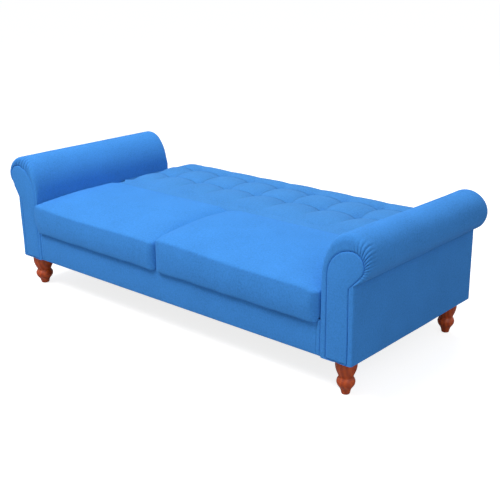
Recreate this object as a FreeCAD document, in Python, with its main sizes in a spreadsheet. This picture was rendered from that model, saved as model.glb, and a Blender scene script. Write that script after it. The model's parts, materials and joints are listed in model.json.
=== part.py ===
"""Click-clack sofa bed with scroll arms, shown folded flat.

Millimetres.  X runs along the sofa, Y from front to rear and Z up.  The origin is
on the floor under the middle of the whole piece in its flat position.
"""
import FreeCAD, Part
import os
import re

import Sketcher

# Every driving size, as the alias of a cell in the sheet.
SIZES = {
    # arms
    "arm_inner": 836, "arm_outer": 980, "arm_front": -494, "arm_rear": 365,
    "roll_x": 951, "roll_z": 545, "roll_radius": 91, "shoulder_radius": 180,
    "cloth": 2, "facing": 12, "board": 18, "panel": 4, "pad": 12, "batten": 30,
    "arm_split": 456, "batten_low": 170, "batten_high": 420,
    "facing_inset": 26, "facing_outer": 955, "facing_head_x": 966,
    "facing_head_z": 526, "facing_head": 50, "facing_cheek": 42,
    # base
    "underside": 146, "rail": 28, "rail_front": -488, "front_rail_top": 289,
    "rear_rail_front": 312, "rear_rail_top": 315, "side_rail_outer": 818,
    "side_rail": 30, "side_rail_top": 280, "seat_rail": 40, "seat_rear_rail": -70,
    "block_size": 30, "block_tall": 40, "spacer_wide": 50, "spacer_tall": 90,
    # seat
    "cushion_end": 814, "cushion_gap": 0.3, "seat_front": -512, "seat_rear": -19.6,
    "seat_bottom": 292, "seat_crest": 447, "seat_brow": 420, "cushion_edge": 21,
    # springs
    "wire": 1.8, "wire_lift": 4, "clip": 7, "clip_wide": 24, "clip_long": 14,
    "felt": 5, "spring_pitch": 220, "spring_leg": 26,
    # back
    "axis_y": 21, "axis_z": 410, "back_nose": 40, "back_rear": 512, "back_top": 450,
    "back_bottom": 320, "back_edge": 25, "back_frame": 30, "back_rail": 40,
    "back_inner": 2, "back_lip": 19, "tuft_pitch": 195, "tuft_front": 246,
    "tuft_rear": 421, "tuft_sink": 22, "tuft_mouth": 30, "button": 9, "tie": 1.5,
    # hinges
    "plate": 3, "ratchet": 38, "notch_wide": 18, "notch_deep": 10, "travel": 72,
    "notch_lean": 1.5, "notch_open": 2, "arm_low_start": 60, "arm_high_start": 80,
    "arm_end": 190, "plate_front": 150, "plate_shoulder": 80, "plate_neck": 60,
    "plate_low": 200,
    "seat_bolt_front": -125, "seat_bolt_rear": -25, "seat_bolt_z": -170,
    "back_bolt_front": 90, "back_bolt_rear": 170,
    "hub": 20, "pivot": 5, "pawl_reach": 56, "pawl_drop": 58, "pawl_slack": 0.4,
    "pin": 4, "running": 0.08, "head": 8, "head_tall": 3,
    # legs and fasteners
    "leg_x": 913, "leg_inset": 63, "foot_radius": 16.5, "waist_radius": 20,
    "ball_radius": 34.5, "neck_radius": 26.5, "collar_radius": 37, "top_radius": 39,
    "leg_curve": 19,
    "bolt": 4, "bolt_slack": 0.3, "bolt_deep": 40, "bolt_inset": 64, "bolt_z": 200,
    "nut_barrel": 5.5, "nut_flange": 11, "stop_radius": 12, "stop_tall": 2.5,
    "stop_x": 500,
}
SPRINGS = 7
SPRING_TURNS = 12
TUFT_COLUMNS = 8
NOTCHES = 3
MIRROR_NORMAL = FreeCAD.Vector(1, 0, 0)
TURNS = {
    "X": FreeCAD.Rotation(FreeCAD.Vector(0, 1, 0), 90),
    "Z": FreeCAD.Rotation(),
}

doc = FreeCAD.newDocument("sofa_bed")
sheet = doc.addObject("Spreadsheet::Sheet", "Sizes")
for row, (alias, number) in enumerate(SIZES.items(), start=1):
    sheet.set(f"A{row}", alias)
    sheet.set(f"B{row}", str(number))
    sheet.setAlias(f"B{row}", alias)
doc.recompute()

sub_parts = []


# ---------------------------------------------------------------- small tools
def from_sheet(expression):
    """Point the aliases in an expression at their cells."""
    def cell(found):
        word = found.group()
        return f"Sizes.{word}" if word in SIZES else word
    return re.sub(r"[a-z_]+", cell, str(expression))


def number_of(expression):
    """The present value of an expression."""
    return float(sheet.evalExpression(from_sheet(expression)))


def bind(item, **expressions):
    """Bind properties of an object to expressions over the sheet."""
    for name, expression in expressions.items():
        item.setExpression(name, from_sheet(expression))


def place(item, x=0, y=0, z=0):
    """Bind an object's position to expressions over the sheet."""
    for axis, expression in zip("xyz", (x, y, z)):
        item.setExpression(f"Placement.Base.{axis}", from_sheet(expression))


def keep(item):
    """Mark an object as a sub-part: its label names its file."""
    sub_parts.append(item)
    return item


def block(label, x, y, z):
    """A box from a (start, size) pair of expressions along each axis."""
    box = doc.addObject("Part::Box", label)
    bind(box, Length=x[1], Width=y[1], Height=z[1])
    place(box, x[0], y[0], z[0])
    return box


def rod(label, axis, radius, length, x, y, z):
    """A cylinder that starts at (x, y, z) and runs along +X or +Z."""
    cylinder = doc.addObject("Part::Cylinder", label)
    cylinder.Placement = FreeCAD.Placement(FreeCAD.Vector(), TURNS[axis])
    bind(cylinder, Radius=radius, Height=length)
    place(cylinder, x, y, z)
    return cylinder


def together(label, pieces):
    """Several separate solids as one object."""
    compound = doc.addObject("Part::Compound", label)
    compound.Links = pieces
    return compound


def fused(label, pieces):
    """Touching solids made into one."""
    union = doc.addObject("Part::MultiFuse", label)
    union.Shapes = pieces
    return union


def cut(label, solid, tools):
    """A solid with every tool taken out of it."""
    result = doc.addObject("Part::Cut", label)
    result.Base = solid
    result.Tool = together(f"{label}_tools", tools)
    return result


def mirrored(label, source):
    """The same piece on the other side of the middle."""
    twin = doc.addObject("Part::Mirroring", label)
    twin.Source = source
    twin.Normal = MIRROR_NORMAL
    return twin


def across(label, radius, length, x, spots):
    """Rods along +X, one at each (y, z) spot."""
    return [rod(f"{label}_{index}", "X", radius, length, x, y, z)
            for index, (y, z) in enumerate(spots)]


def arc_between(start, end, radius):
    """The arc that turns left from start to end, no longer than a half circle."""
    chord = end - start
    middle = (start + end) * 0.5
    rise = max(radius ** 2 - (chord.Length / 2) ** 2, 0) ** 0.5
    left = FreeCAD.Vector(-chord.y, chord.x, 0)
    left.normalize()
    centre = middle + left * rise
    circle = Part.Circle(centre, FreeCAD.Vector(0, 0, 1), radius)
    return Part.ArcOfCircle(circle, circle.parameter(start), circle.parameter(end))


def trace(sketch, corners):
    """Draw a closed outline through corners, taken counter-clockwise.

    A corner is (across, up), or (across, up, radius) where the edge that leaves it
    is an arc.  Every corner and radius stays bound to its expression.
    """
    points = [FreeCAD.Vector(number_of(c[0]), number_of(c[1]), 0) for c in corners]
    for index, corner in enumerate(corners):
        start = points[index]
        end = points[(index + 1) % len(points)]
        if len(corner) == 2:
            sketch.addGeometry(Part.LineSegment(start, end))
        else:
            sketch.addGeometry(arc_between(start, end, number_of(corner[2])))
    for index, corner in enumerate(corners):
        following = (index + 1) % len(points)
        sketch.addConstraint(Sketcher.Constraint("Coincident", index, 2, following, 1))
        limits = [("DistanceX", (-1, 1, index, 1), corner[0], points[index].x),
                  ("DistanceY", (-1, 1, index, 1), corner[1], points[index].y)]
        if len(corner) == 3:
            limits.append(("Radius", (index,), corner[2], number_of(corner[2])))
        for kind, where, expression, present in limits:
            made = sketch.addConstraint(Sketcher.Constraint(kind, *where, present))
            sketch.setExpression(f"Constraints[{made}]", from_sheet(expression))


def drawn(body, name, plane, corners):
    """A sketch on one of a body's own origin planes."""
    sketch = body.newObject("Sketcher::SketchObject", name)
    planes = {feature.Role: feature for feature in body.Origin.OriginFeatures}
    sketch.AttachmentSupport = [(planes[plane], "")]
    sketch.MapMode = "FlatFace"
    trace(sketch, corners)
    return sketch


def prism(label, plane, corners, length, x=0, y=0, z=0):
    """A body padded along +X from a YZ outline, or along +Y from an XZ outline."""
    body = doc.addObject("PartDesign::Body", label)
    pad = body.newObject("PartDesign::Pad", f"{label}_pad")
    pad.Profile = drawn(body, f"{label}_outline", plane, corners)
    pad.Reversed = plane == "XZ_Plane"
    bind(pad, Length=length)
    body.Tip = pad
    place(body, x, y, z)
    return body


def both_sides(stem, right):
    """Keep a right-hand piece and its mirror image as two sub-parts."""
    right.Label = f"{stem}_right"
    keep(right)
    keep(mirrored(f"{stem}_left", right))


# ---------------------------------------------- where the hinges are fastened
PAWL_Y = "axis_y - pawl_reach"
PAWL_Z = "axis_z - pawl_drop"
AXIS_SPOT = [("axis_y", "axis_z")]
PAWL_SPOT = [(PAWL_Y, PAWL_Z)]
SEAT_SPOTS = [(y, "axis_z + seat_bolt_z")
              for y in ("axis_y + seat_bolt_front", "axis_y + seat_bolt_rear")]
BACK_SPOTS = [(y, "back_bottom + cloth + back_frame / 2")
              for y in ("axis_y + back_bolt_front", "axis_y + back_bolt_rear")]


# ----------------------------------------------------------------------- legs
def leg(label, x, y):
    """A turned leg: small foot, waist, ball, cove and a wide top."""
    body = doc.addObject("PartDesign::Body", f"{label}_turning")
    corners = [
        (0, 0),
        ("foot_radius", 0),
        ("waist_radius", "underside * 0.185", "leg_curve"),
        ("ball_radius", "underside * 0.38", "leg_curve"),
        ("neck_radius", "underside * 0.49"),
        ("collar_radius", "underside * 0.70"),
        ("top_radius", "underside * 0.85"),
        ("top_radius", "underside"),
        (0, "underside"),
    ]
    turning = body.newObject("PartDesign::Revolution", f"{label}_revolution")
    turning.Profile = drawn(body, f"{label}_outline", "XZ_Plane", corners)
    turning.ReferenceAxis = (turning.Profile[0], ["V_Axis"])
    turning.Angle = 360
    body.Tip = turning
    place(body, x, y, 0)
    hole = rod(f"{label}_hole", "Z", "bolt", "bolt_deep", x, y, "underside - bolt_deep")
    keep(cut(label, body, [hole]))


FRONT_LEG_Y = "arm_front + leg_inset"
REAR_LEG_Y = "arm_rear - leg_inset"
LEG_PLACES = {
    "leg_front_right": ("leg_x", FRONT_LEG_Y),
    "leg_front_left": ("-leg_x", FRONT_LEG_Y),
    "leg_rear_right": ("leg_x", REAR_LEG_Y),
    "leg_rear_left": ("-leg_x", REAR_LEG_Y),
}
for name, (leg_x, leg_y) in LEG_PLACES.items():
    leg(name, leg_x, leg_y)

leg_bolts = []
leg_nuts = []
nut_bores = []
for name, (leg_x, leg_y) in LEG_PLACES.items():
    leg_bolts.append(rod(f"{name}_bolt", "Z", "bolt", "bolt_deep + board + cloth + head_tall",
                         leg_x, leg_y, "underside - bolt_deep"))
    barrel = rod(f"{name}_barrel", "Z", "nut_barrel", "board",
                 leg_x, leg_y, "underside + cloth")
    flange = rod(f"{name}_flange", "Z", "nut_flange", "head_tall",
                 leg_x, leg_y, "underside + cloth + board")
    leg_nuts.append(fused(f"{name}_nut", [barrel, flange]))
    nut_bores.append(rod(f"{name}_bore", "Z", "bolt", "bolt_deep",
                         leg_x, leg_y, "underside"))
keep(together("leg_bolts", leg_bolts))
keep(cut("leg_tee_nuts", together("leg_nut_blanks", leg_nuts), nut_bores))


# ----------------------------------------------------------------------- arms
def arm_outline(inset, bottom="underside"):
    """The scroll section of the right arm, drawn in by an inset all round."""
    lean = "(shoulder_radius - roll_x + arm_inner)"
    span = "(shoulder_radius - roll_radius)"
    rise = f"sqrt({span}^2 - {lean}^2)"
    radius = f"(roll_radius - {inset})"
    side = f"(arm_outer - {inset} - roll_x)"
    return [
        (f"arm_inner + {inset}", f"{bottom} + {inset}"),
        (f"arm_outer - {inset}", f"{bottom} + {inset}"),
        (f"arm_outer - {inset}", f"roll_z - sqrt({radius}^2 - {side}^2)", radius),
        (f"roll_x + {radius}", "roll_z", radius),
        ("roll_x", f"roll_z + {radius}", radius),
        (f"roll_x - {radius} * {lean} / {span}", f"roll_z + {radius} * {rise} / {span}",
         f"shoulder_radius - {inset}"),
        (f"arm_inner + {inset}", f"roll_z - {rise}"),
    ]


def facing_outline():
    """The keyhole facing of the right arm: a stem, a cheek and a round head."""
    inner = "(arm_inner + facing_inset)"
    brow = f"(facing_head_x - {inner})"
    cheek_x = "(facing_head_x + facing_head * cos(facing_cheek * 1deg))"
    cheek_z = "(facing_head_z - facing_head * sin(facing_cheek * 1deg))"
    cheek_drop = f"(({cheek_x} - facing_outer) / tan(facing_cheek * 1deg))"
    return [
        (inner, "underside + cloth"),
        ("facing_outer", "underside + cloth"),
        ("facing_outer", f"{cheek_z} - {cheek_drop}"),
        (cheek_x, cheek_z, "facing_head"),
        ("facing_head_x", "facing_head_z + facing_head", brow),
        (inner, f"facing_head_z + facing_head - {brow}"),
    ]


def arm_slab(label, inset, start, length):
    """A slice of the right arm's section between two depths."""
    return prism(label, "XZ_Plane", arm_outline(inset), length, y=start)


FRONT_BOARD_Y = "arm_front + facing"
REAR_BOARD_Y = "arm_rear - facing - board"
INSIDE_Y = ("arm_front + facing + board", "arm_rear - arm_front - 2 * facing - 2 * board")
PAD_Y = (FRONT_BOARD_Y, "arm_rear - arm_front - 2 * facing")
INNER_PAD_X = "arm_inner + cloth"
INNER_PANEL_X = "arm_inner + cloth + pad"
INNER_BATTEN_X = "arm_inner + cloth + pad + panel"
OUTER_PAD_X = "arm_outer - cloth - pad"
OUTER_PANEL_X = "arm_outer - cloth - pad - panel"
OUTER_BATTEN_X = "arm_outer - cloth - pad - panel - batten"
SIDE_Z = ("underside + cloth", "arm_split - underside - cloth")
ARM_BOLTS = {"front": "arm_front + bolt_inset", "rear": "arm_rear - bolt_inset - board"}


def arm_bolt_holes(label):
    """Clearance holes for the bolts that hold the right arm to the base."""
    return [rod(f"{label}_hole_{end}", "X", "bolt + bolt_slack", "arm_inner",
                "side_rail_outer - side_rail - bolt_deep", y, "bolt_z")
            for end, y in ARM_BOLTS.items()]


def leg_bolt_holes(label, radius):
    """Holes for the two right-hand leg bolts."""
    return [rod(f"{label}_leg_{end}", "Z", radius, "board + bolt_deep",
                "leg_x", y, "underside - bolt_deep / 2")
            for end, y in (("front", FRONT_LEG_Y), ("rear", REAR_LEG_Y))]


def scroll_board(label, start):
    """A plywood end board, drawn in so that padding covers its edge."""
    return prism(label, "XZ_Plane", arm_outline("(cloth + pad)", "underside - pad"),
                 "board", y=start)


both_sides("arm_front_board", scroll_board("front_board", FRONT_BOARD_Y))
both_sides("arm_rear_board", scroll_board("rear_board", REAR_BOARD_Y))

CORE_WIDE = "arm_outer - arm_inner - 2 * (cloth + pad + panel)"
plinth = cut("arm_plinth",
             block("arm_plinth_blank", (INNER_BATTEN_X, CORE_WIDE), INSIDE_Y,
                   ("underside + cloth", "board")),
             leg_bolt_holes("arm_plinth", "nut_barrel"))
low_inner = cut("arm_low_batten",
                block("arm_low_batten_blank", (INNER_BATTEN_X, "batten"), INSIDE_Y,
                      ("batten_low", "2 * batten")),
                arm_bolt_holes("arm_low_batten"))
other_battens = [
    block("arm_low_outer_batten", (OUTER_BATTEN_X, "batten"), INSIDE_Y,
          ("batten_low", "2 * batten")),
    block("arm_high_inner_batten", (INNER_BATTEN_X, "batten"), INSIDE_Y,
          ("batten_high", "batten")),
    block("arm_high_outer_batten", (OUTER_BATTEN_X, "batten"), INSIDE_Y,
          ("batten_high", "batten")),
]
both_sides("arm_battens", together("arm_batten_set", [plinth, low_inner] + other_battens))

inner_panel = cut("arm_inner_panel", block("arm_inner_panel_blank",
                                           (INNER_PANEL_X, "panel"), INSIDE_Y, SIDE_Z),
                  arm_bolt_holes("arm_inner_panel"))
outer_panel = block("arm_outer_panel", (OUTER_PANEL_X, "panel"), INSIDE_Y, SIDE_Z)
both_sides("arm_side_panels", together("arm_panel_set", [inner_panel, outer_panel]))

both_sides("arm_inner_pad", cut("inner_pad", block("inner_pad_blank", (INNER_PAD_X, "pad"),
                                                   PAD_Y, SIDE_Z),
                                arm_bolt_holes("inner_pad")))
both_sides("arm_outer_pad", block("outer_pad", (OUTER_PAD_X, "pad"), PAD_Y, SIDE_Z))

below_roll = block("below_roll", ("arm_inner", "arm_outer - arm_inner"), PAD_Y,
                   ("underside", "arm_split - underside"))
both_sides("arm_roll", cut("roll_foam", arm_slab("roll_blank", "cloth", *PAD_Y), [
    below_roll, scroll_board("front_board_space", FRONT_BOARD_Y),
    scroll_board("rear_board_space", REAR_BOARD_Y)]))

facing_hole = prism("facing_hole", "XZ_Plane", facing_outline(), "facing", y="arm_front")
both_sides("arm_cover", cut(
    "cover_shell",
    arm_slab("cover_blank", 0, "arm_front + facing - cloth",
             "arm_rear - arm_front - 2 * facing + cloth"),
    [arm_slab("cover_core", "cloth", *PAD_Y),
     facing_hole]
    + arm_bolt_holes("cover") + leg_bolt_holes("cover", "bolt")))
both_sides("arm_front_facing", prism("front_facing", "XZ_Plane", facing_outline(),
                                     "facing", y="arm_front"))
both_sides("arm_rear_facing", arm_slab("rear_facing", 0, "arm_rear - facing", "facing"))


# ----------------------------------------------------------------------- base
FULL_X = ("-arm_inner", "2 * arm_inner")
SIDE_RAIL_Y = ("rail_front + rail", "rear_rail_front - rail_front - rail")
FLOOR_Z = "underside + cloth"


def rail_cover(label, inside, rail_y, out_y, top):
    """Cloth over a rail's outer face, top and underside."""
    blank = block(f"{label}_blank", FULL_X, (out_y, "rail + cloth"),
                  ("underside", f"{top} + cloth - underside"))
    keep(cut(label, blank, [block(f"{label}_{inside}", FULL_X, (rail_y, "rail"),
                                  (FLOOR_Z, f"{top} - underside - cloth"))]))


keep(block("base_front_rail", FULL_X, ("rail_front", "rail"),
           (FLOOR_Z, "front_rail_top - underside - cloth")))
keep(block("base_rear_rail", FULL_X, ("rear_rail_front", "rail"),
           (FLOOR_Z, "rear_rail_top - underside - cloth")))
rail_cover("front_rail_cover", "core", "rail_front", "rail_front - cloth", "front_rail_top")
rail_cover("rear_rail_cover", "core", "rear_rail_front", "rear_rail_front", "rear_rail_top")
keep(block("dust_cover", FULL_X, SIDE_RAIL_Y, ("underside", "cloth")))

side_rail = cut("base_side_rail",
                block("base_side_rail_blank", ("side_rail_outer - side_rail", "side_rail"),
                      SIDE_RAIL_Y, (FLOOR_Z, "side_rail_top - underside - cloth")),
                arm_bolt_holes("base_side_rail")
                + across("side_rail_hinge_hole", "bolt", "side_rail",
                         "side_rail_outer - side_rail", SEAT_SPOTS))
centre_rail = block("base_centre_rail", ("-side_rail / 2", "side_rail"), SIDE_RAIL_Y,
                    (FLOOR_Z, "side_rail_top - seat_rail - underside - cloth"))
keep(together("base_cross_rails",
              [side_rail, mirrored("base_side_rail_twin", side_rail), centre_rail]))

corner_blocks = []
for end, start in (("front", "rail_front + rail"), ("rear", "rear_rail_front - block_size")):
    corner = block(f"corner_block_{end}",
                   ("side_rail_outer - side_rail - block_size", "block_size"),
                   (start, "block_size"), (FLOOR_Z, "block_tall"))
    corner_blocks += [corner, mirrored(f"corner_block_{end}_twin", corner)]
keep(together("corner_blocks", corner_blocks))

spacers = []
for end, y in ARM_BOLTS.items():
    blank = block(f"spacer_blank_{end}", ("side_rail_outer", "arm_inner - side_rail_outer"),
                  (f"{y} - spacer_wide / 2", "spacer_wide"),
                  ("bolt_z - spacer_tall / 2", "spacer_tall"))
    spacer = cut(f"spacer_{end}", blank, arm_bolt_holes(f"spacer_{end}"))
    spacers += [spacer, mirrored(f"spacer_{end}_twin", spacer)]
keep(together("arm_spacers", spacers))

arm_bolts = []
for end, y in ARM_BOLTS.items():
    head_x = "side_rail_outer - side_rail - head_tall"
    shank = rod(f"arm_bolt_shank_{end}", "X", "bolt",
                "arm_inner - side_rail_outer + side_rail + cloth + pad + panel + batten"
                " + 2 * head_tall", head_x, y, "bolt_z")
    caps = [rod(f"arm_bolt_{kind}_{end}", "X", "head", "head_tall", x, y, "bolt_z")
            for kind, x in (("head", head_x),
                            ("nut", "arm_inner + cloth + pad + panel + batten"))]
    fastener = fused(f"arm_bolt_{end}", [shank] + caps)
    arm_bolts += [fastener, mirrored(f"arm_bolt_{end}_twin", fastener)]
keep(together("arm_bolts", arm_bolts))

stop = rod("stop_pad", "Z", "stop_radius", "stop_tall", "stop_x",
           "rear_rail_front + rail / 2", "rear_rail_top + cloth")
keep(together("stop_pads", [stop, mirrored("stop_pad_twin", stop)]))


# -------------------------------------------------------------------- springs
def sinuous_wire(label, x, start_y, length, z):
    """A zigzag spring wire with straight legs and half-round bends."""
    bend = number_of(length) / SPRING_TURNS / 2
    reach = number_of("spring_leg") / 2
    side = 1
    y = number_of(start_y)
    edges = []
    for turn in range(SPRING_TURNS + 1):
        left = FreeCAD.Vector(-side * reach, y, 0)
        right = FreeCAD.Vector(side * reach, y, 0)
        edges.append(Part.LineSegment(left, right).toShape())
        if turn < SPRING_TURNS:
            tip = FreeCAD.Vector(side * (reach + bend), y + bend, 0)
            landing = FreeCAD.Vector(side * reach, y + 2 * bend, 0)
            edges.append(Part.Arc(right, tip, landing).toShape())
        y += 2 * bend
        side = -side
    path = Part.Wire(edges)
    start = path.OrderedVertexes[0].Point
    section = Part.Circle(start, FreeCAD.Vector(1, 0, 0), number_of("wire")).toShape()
    spring = doc.addObject("Part::Feature", label)
    spring.Shape = path.makePipeShell([Part.Wire([section])], True, True)
    place(spring, x, 0, z)
    return spring


def spring_bed(stem, start_y, length, rail_top):
    """A row of zigzag springs with a clip at both ends of each."""
    wires = []
    clips = []
    channels = []
    for index in range(SPRINGS):
        x = f"spring_pitch * {index - (SPRINGS - 1) / 2}"
        wires.append(sinuous_wire(f"{stem}_wire_{index}", x, start_y, length,
                                  f"{rail_top} + wire_lift"))
        for end, y in (("front", start_y), ("rear", f"{start_y} + {length}")):
            clips.append(block(f"{stem}_clip_{end}_{index}",
                               (f"{x} - clip_wide / 2", "clip_wide"),
                               (f"{y} - clip_long / 2", "clip_long"), (rail_top, "clip")))
            channels.append(rod(f"{stem}_channel_{end}_{index}", "X", "wire", "clip_wide",
                                f"{x} - clip_wide / 2", y, f"{rail_top} + wire_lift"))
    keep(together(f"{stem}_springs", wires))
    keep(cut(f"{stem}_spring_clips", together(f"{stem}_clip_set", clips), channels))


# ----------------------------------------------------------------------- seat
BETWEEN_RAILS = ("side_rail - side_rail_outer", "2 * (side_rail_outer - side_rail)")
keep(together("seat_frame", [
    block(f"seat_rail_{end}", BETWEEN_RAILS, (start, "seat_rail"),
          ("side_rail_top - seat_rail", "seat_rail"))
    for end, start in (("front", "rail_front + rail"), ("rear", "seat_rear_rail"))]))
SEAT_SPAN = "(seat_rear_rail - rail_front - rail)"
spring_bed("seat", "rail_front + rail + seat_rail / 2", SEAT_SPAN, "side_rail_top")
keep(block("seat_felt", BETWEEN_RAILS,
           ("rail_front + rail", f"{SEAT_SPAN} + seat_rail"),
           ("side_rail_top + clip", "felt")))

SEAT_OUTLINE = [
    ("seat_front", "seat_bottom"),
    ("seat_rear", "seat_bottom"),
    ("seat_rear", "seat_crest - cushion_edge", "cushion_edge"),
    ("seat_rear - cushion_edge", "seat_crest"),
    ("seat_front + cushion_edge", "seat_brow", "cushion_edge"),
    ("seat_front", "seat_brow - cushion_edge"),
]
both_sides("seat_cushion", prism("cushion", "YZ_Plane", SEAT_OUTLINE,
                                 "cushion_end - cushion_gap", x="cushion_gap"))


# ----------------------------------------------------------------------- back
ENDS_X = ("-cushion_end", "2 * cushion_end")
BACK_INSIDE_Y = ("back_inner", "back_rear - back_lip - back_inner")
BACK_FLOOR = "back_bottom + cloth"
FRAME_TOP = "back_bottom + cloth + back_frame"
FOAM_FLOOR = f"{FRAME_TOP} + clip + felt"

BACK_OUTLINE = [
    ("axis_y - back_nose", "back_bottom"),
    ("back_rear", "back_bottom"),
    ("back_rear", "back_top - back_edge", "back_edge"),
    ("back_rear - back_edge", "back_top"),
    ("axis_y", "back_top", "back_nose"),
    ("axis_y - back_nose", "axis_z"),
]
hollows = [block("back_channel", ENDS_X, BACK_INSIDE_Y,
                 ("back_bottom", f"{FOAM_FLOOR} - back_bottom"))]
ties = []
for column in range(TUFT_COLUMNS):
    tuft_x = f"tuft_pitch * {column - (TUFT_COLUMNS - 1) / 2}"
    for line in ("tuft_front", "tuft_rear"):
        spot = f"{column}_{line}"
        dimple = doc.addObject("Part::Cone", f"dimple_{spot}")
        bind(dimple, Radius1="button + running", Radius2="tuft_mouth", Height="tuft_sink")
        place(dimple, tuft_x, line, "back_top - tuft_sink")
        thread = rod(f"tie_{spot}", "Z", "tie", f"back_top - tuft_sink - ({FOAM_FLOOR})",
                     tuft_x, line, FOAM_FLOOR)
        button = rod(f"button_{spot}", "Z", "button", "cloth", tuft_x, line,
                     "back_top - tuft_sink")
        hole = rod(f"tie_hole_{spot}", "Z", "tie + running", "back_top - back_bottom",
                   tuft_x, line, "back_bottom")
        hollows += [dimple, hole]
        ties.append(fused(f"tuft_{spot}", [thread, button]))
keep(cut("back_cushion", prism("back_foam", "YZ_Plane", BACK_OUTLINE, "2 * cushion_end",
                               x="-cushion_end"), hollows))
keep(together("tuft_ties", ties))

long_rails = [block(f"back_rail_{end}", ENDS_X, (start, "back_rail"),
                    (BACK_FLOOR, "back_frame"))
              for end, start in (("front", "back_inner"),
                                 ("rear", "back_rear - back_lip - back_rail"))]
SHORT_RAIL_Y = ("back_inner + back_rail",
                "back_rear - back_lip - back_inner - 2 * back_rail")
middle_rail = block("back_rail_middle", ("-back_rail / 2", "back_rail"), SHORT_RAIL_Y,
                    (BACK_FLOOR, "back_frame"))
end_rail = cut("back_rail_end",
               block("back_rail_end_blank", ("cushion_end - back_rail", "back_rail"),
                     SHORT_RAIL_Y, (BACK_FLOOR, "back_frame")),
               across("back_rail_hinge_hole", "bolt", "back_rail",
                      "cushion_end - back_rail", BACK_SPOTS))
keep(together("back_frame", long_rails
              + [middle_rail, end_rail, mirrored("back_rail_end_twin", end_rail)]))
keep(block("back_rear_cloth", ENDS_X, BACK_INSIDE_Y, ("back_bottom", "cloth")))
spring_bed("back", "back_inner + back_rail / 2",
           "(back_rear - back_lip - back_inner - back_rail)", FRAME_TOP)
keep(block("back_felt", ENDS_X, BACK_INSIDE_Y, (f"{FRAME_TOP} + clip", "felt")))


# --------------------------------------------------------------------- hinges
def ratchet_plate():
    """The toothed plate that turns with the back, drawn about the hinge axis."""
    body = doc.addObject("PartDesign::Body", "ratchet_blank")
    corners = [
        ("-ratchet", 0, "ratchet"),
        (0, "-ratchet", "ratchet"),
        ("ratchet * 0.6", "-ratchet * 0.8"),
        ("arm_low_start", "back_bottom + cloth - axis_z"),
        ("arm_end", "back_bottom + cloth - axis_z"),
        ("arm_end", "back_bottom + cloth + back_frame - axis_z"),
        ("arm_high_start", "back_bottom + cloth + back_frame - axis_z"),
        ("ratchet", 0),
        ("hub", "hub"),
        ("-hub", "hub"),
    ]
    pad = body.newObject("PartDesign::Pad", "ratchet_pad")
    pad.Profile = drawn(body, "ratchet_outline", "YZ_Plane", corners)
    bind(pad, Length="plate")
    pocket = body.newObject("PartDesign::Pocket", "ratchet_notch")
    pocket.Profile = drawn(body, "ratchet_notch_outline", "YZ_Plane", [
        ("-notch_wide / 2 - notch_lean", "-ratchet - notch_open"),
        ("notch_wide / 2 - notch_lean", "-ratchet - notch_open"),
        ("notch_wide / 2 - notch_lean", "notch_deep - ratchet"),
        ("-notch_wide / 2 - notch_lean", "notch_deep - ratchet"),
    ])
    pocket.Reversed = True
    bind(pocket, Length="plate")
    doc.recompute()
    ring = body.newObject("PartDesign::PolarPattern", "ratchet_notches")
    ring.Originals = [pocket]
    axes = {feature.Role: feature for feature in body.Origin.OriginFeatures}
    ring.Axis = (axes["X_Axis"], [""])
    ring.Occurrences = NOTCHES
    ring.Reversed = True
    bind(ring, Angle="travel")
    body.Tip = ring
    place(body, "cushion_end", "axis_y", "axis_z")
    return body


both_sides("ratchet_plate", cut(
    "toothed_plate", ratchet_plate(),
    across("ratchet_bore", "pivot + running", "plate", "cushion_end", AXIS_SPOT)
    + across("ratchet_bolt_hole", "bolt", "plate", "cushion_end", BACK_SPOTS)))

SEAT_PLATE = [
    ("hub", 0, "hub"),
    (0, "hub", "hub"),
    ("-hub", 0),
    ("-plate_shoulder", "-plate_neck"),
    ("-plate_front", "side_rail_top - axis_z"),
    ("-plate_front", "-plate_low"),
    (0, "-plate_low"),
    (0, "side_rail_top - axis_z"),
    ("hub", "-plate_neck"),
]
both_sides("hinge_seat_plate", cut(
    "fixed_plate",
    prism("seat_plate_blank", "YZ_Plane", SEAT_PLATE, "plate", "side_rail_outer",
          "axis_y", "axis_z"),
    across("seat_plate_bore", "pivot", "plate", "side_rail_outer", AXIS_SPOT)
    + across("seat_plate_pin_hole", "pin", "plate", "side_rail_outer", PAWL_SPOT)
    + across("seat_plate_bolt_hole", "bolt", "plate", "side_rail_outer", SEAT_SPOTS)))

# Corners (y, z) of the lever, from its pin.  The tooth is at the right-hand end.
PAWL = [(-10, -9), (46, 3), (62, 5), (61, 17.5), (51, 17.5), (45, 10), (0, 10), (-10, 6)]
both_sides("pawl", cut(
    "pawl_lever",
    prism("pawl_blank", "YZ_Plane", PAWL, "plate", "cushion_end + pawl_slack",
          PAWL_Y, PAWL_Z),
    across("pawl_bore", "pin + running", "plate", "cushion_end + pawl_slack", PAWL_SPOT)))

PIN_LONG = "side_rail_outer + plate - cushion_end - pawl_slack"
pins = []
for stem, radius, spot in (("pivot_pin", "pivot", AXIS_SPOT), ("pawl_pin", "pin", PAWL_SPOT)):
    shank = across(f"{stem}_shank", radius, PIN_LONG, "cushion_end + pawl_slack", spot)
    cap = across(f"{stem}_cap", "head", "head_tall", "side_rail_outer + plate", spot)
    pin = fused(stem, shank + cap)
    pins += [pin, mirrored(f"{stem}_twin", pin)]
keep(together("hinge_pins", pins))


def hinge_bolts(label, start, length, head_x, spots):
    """Bolts with heads on the outer side, on both sides of the sofa."""
    bolts = []
    for index, (y, z) in enumerate(spots):
        shank = rod(f"{label}_shank_{index}", "X", "bolt", length, start, y, z)
        cap = rod(f"{label}_cap_{index}", "X", "head", "head_tall", head_x, y, z)
        bolt = fused(f"{label}_{index}", [shank, cap])
        bolts += [bolt, mirrored(f"{label}_twin_{index}", bolt)]
    keep(together(label, bolts))


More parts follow.
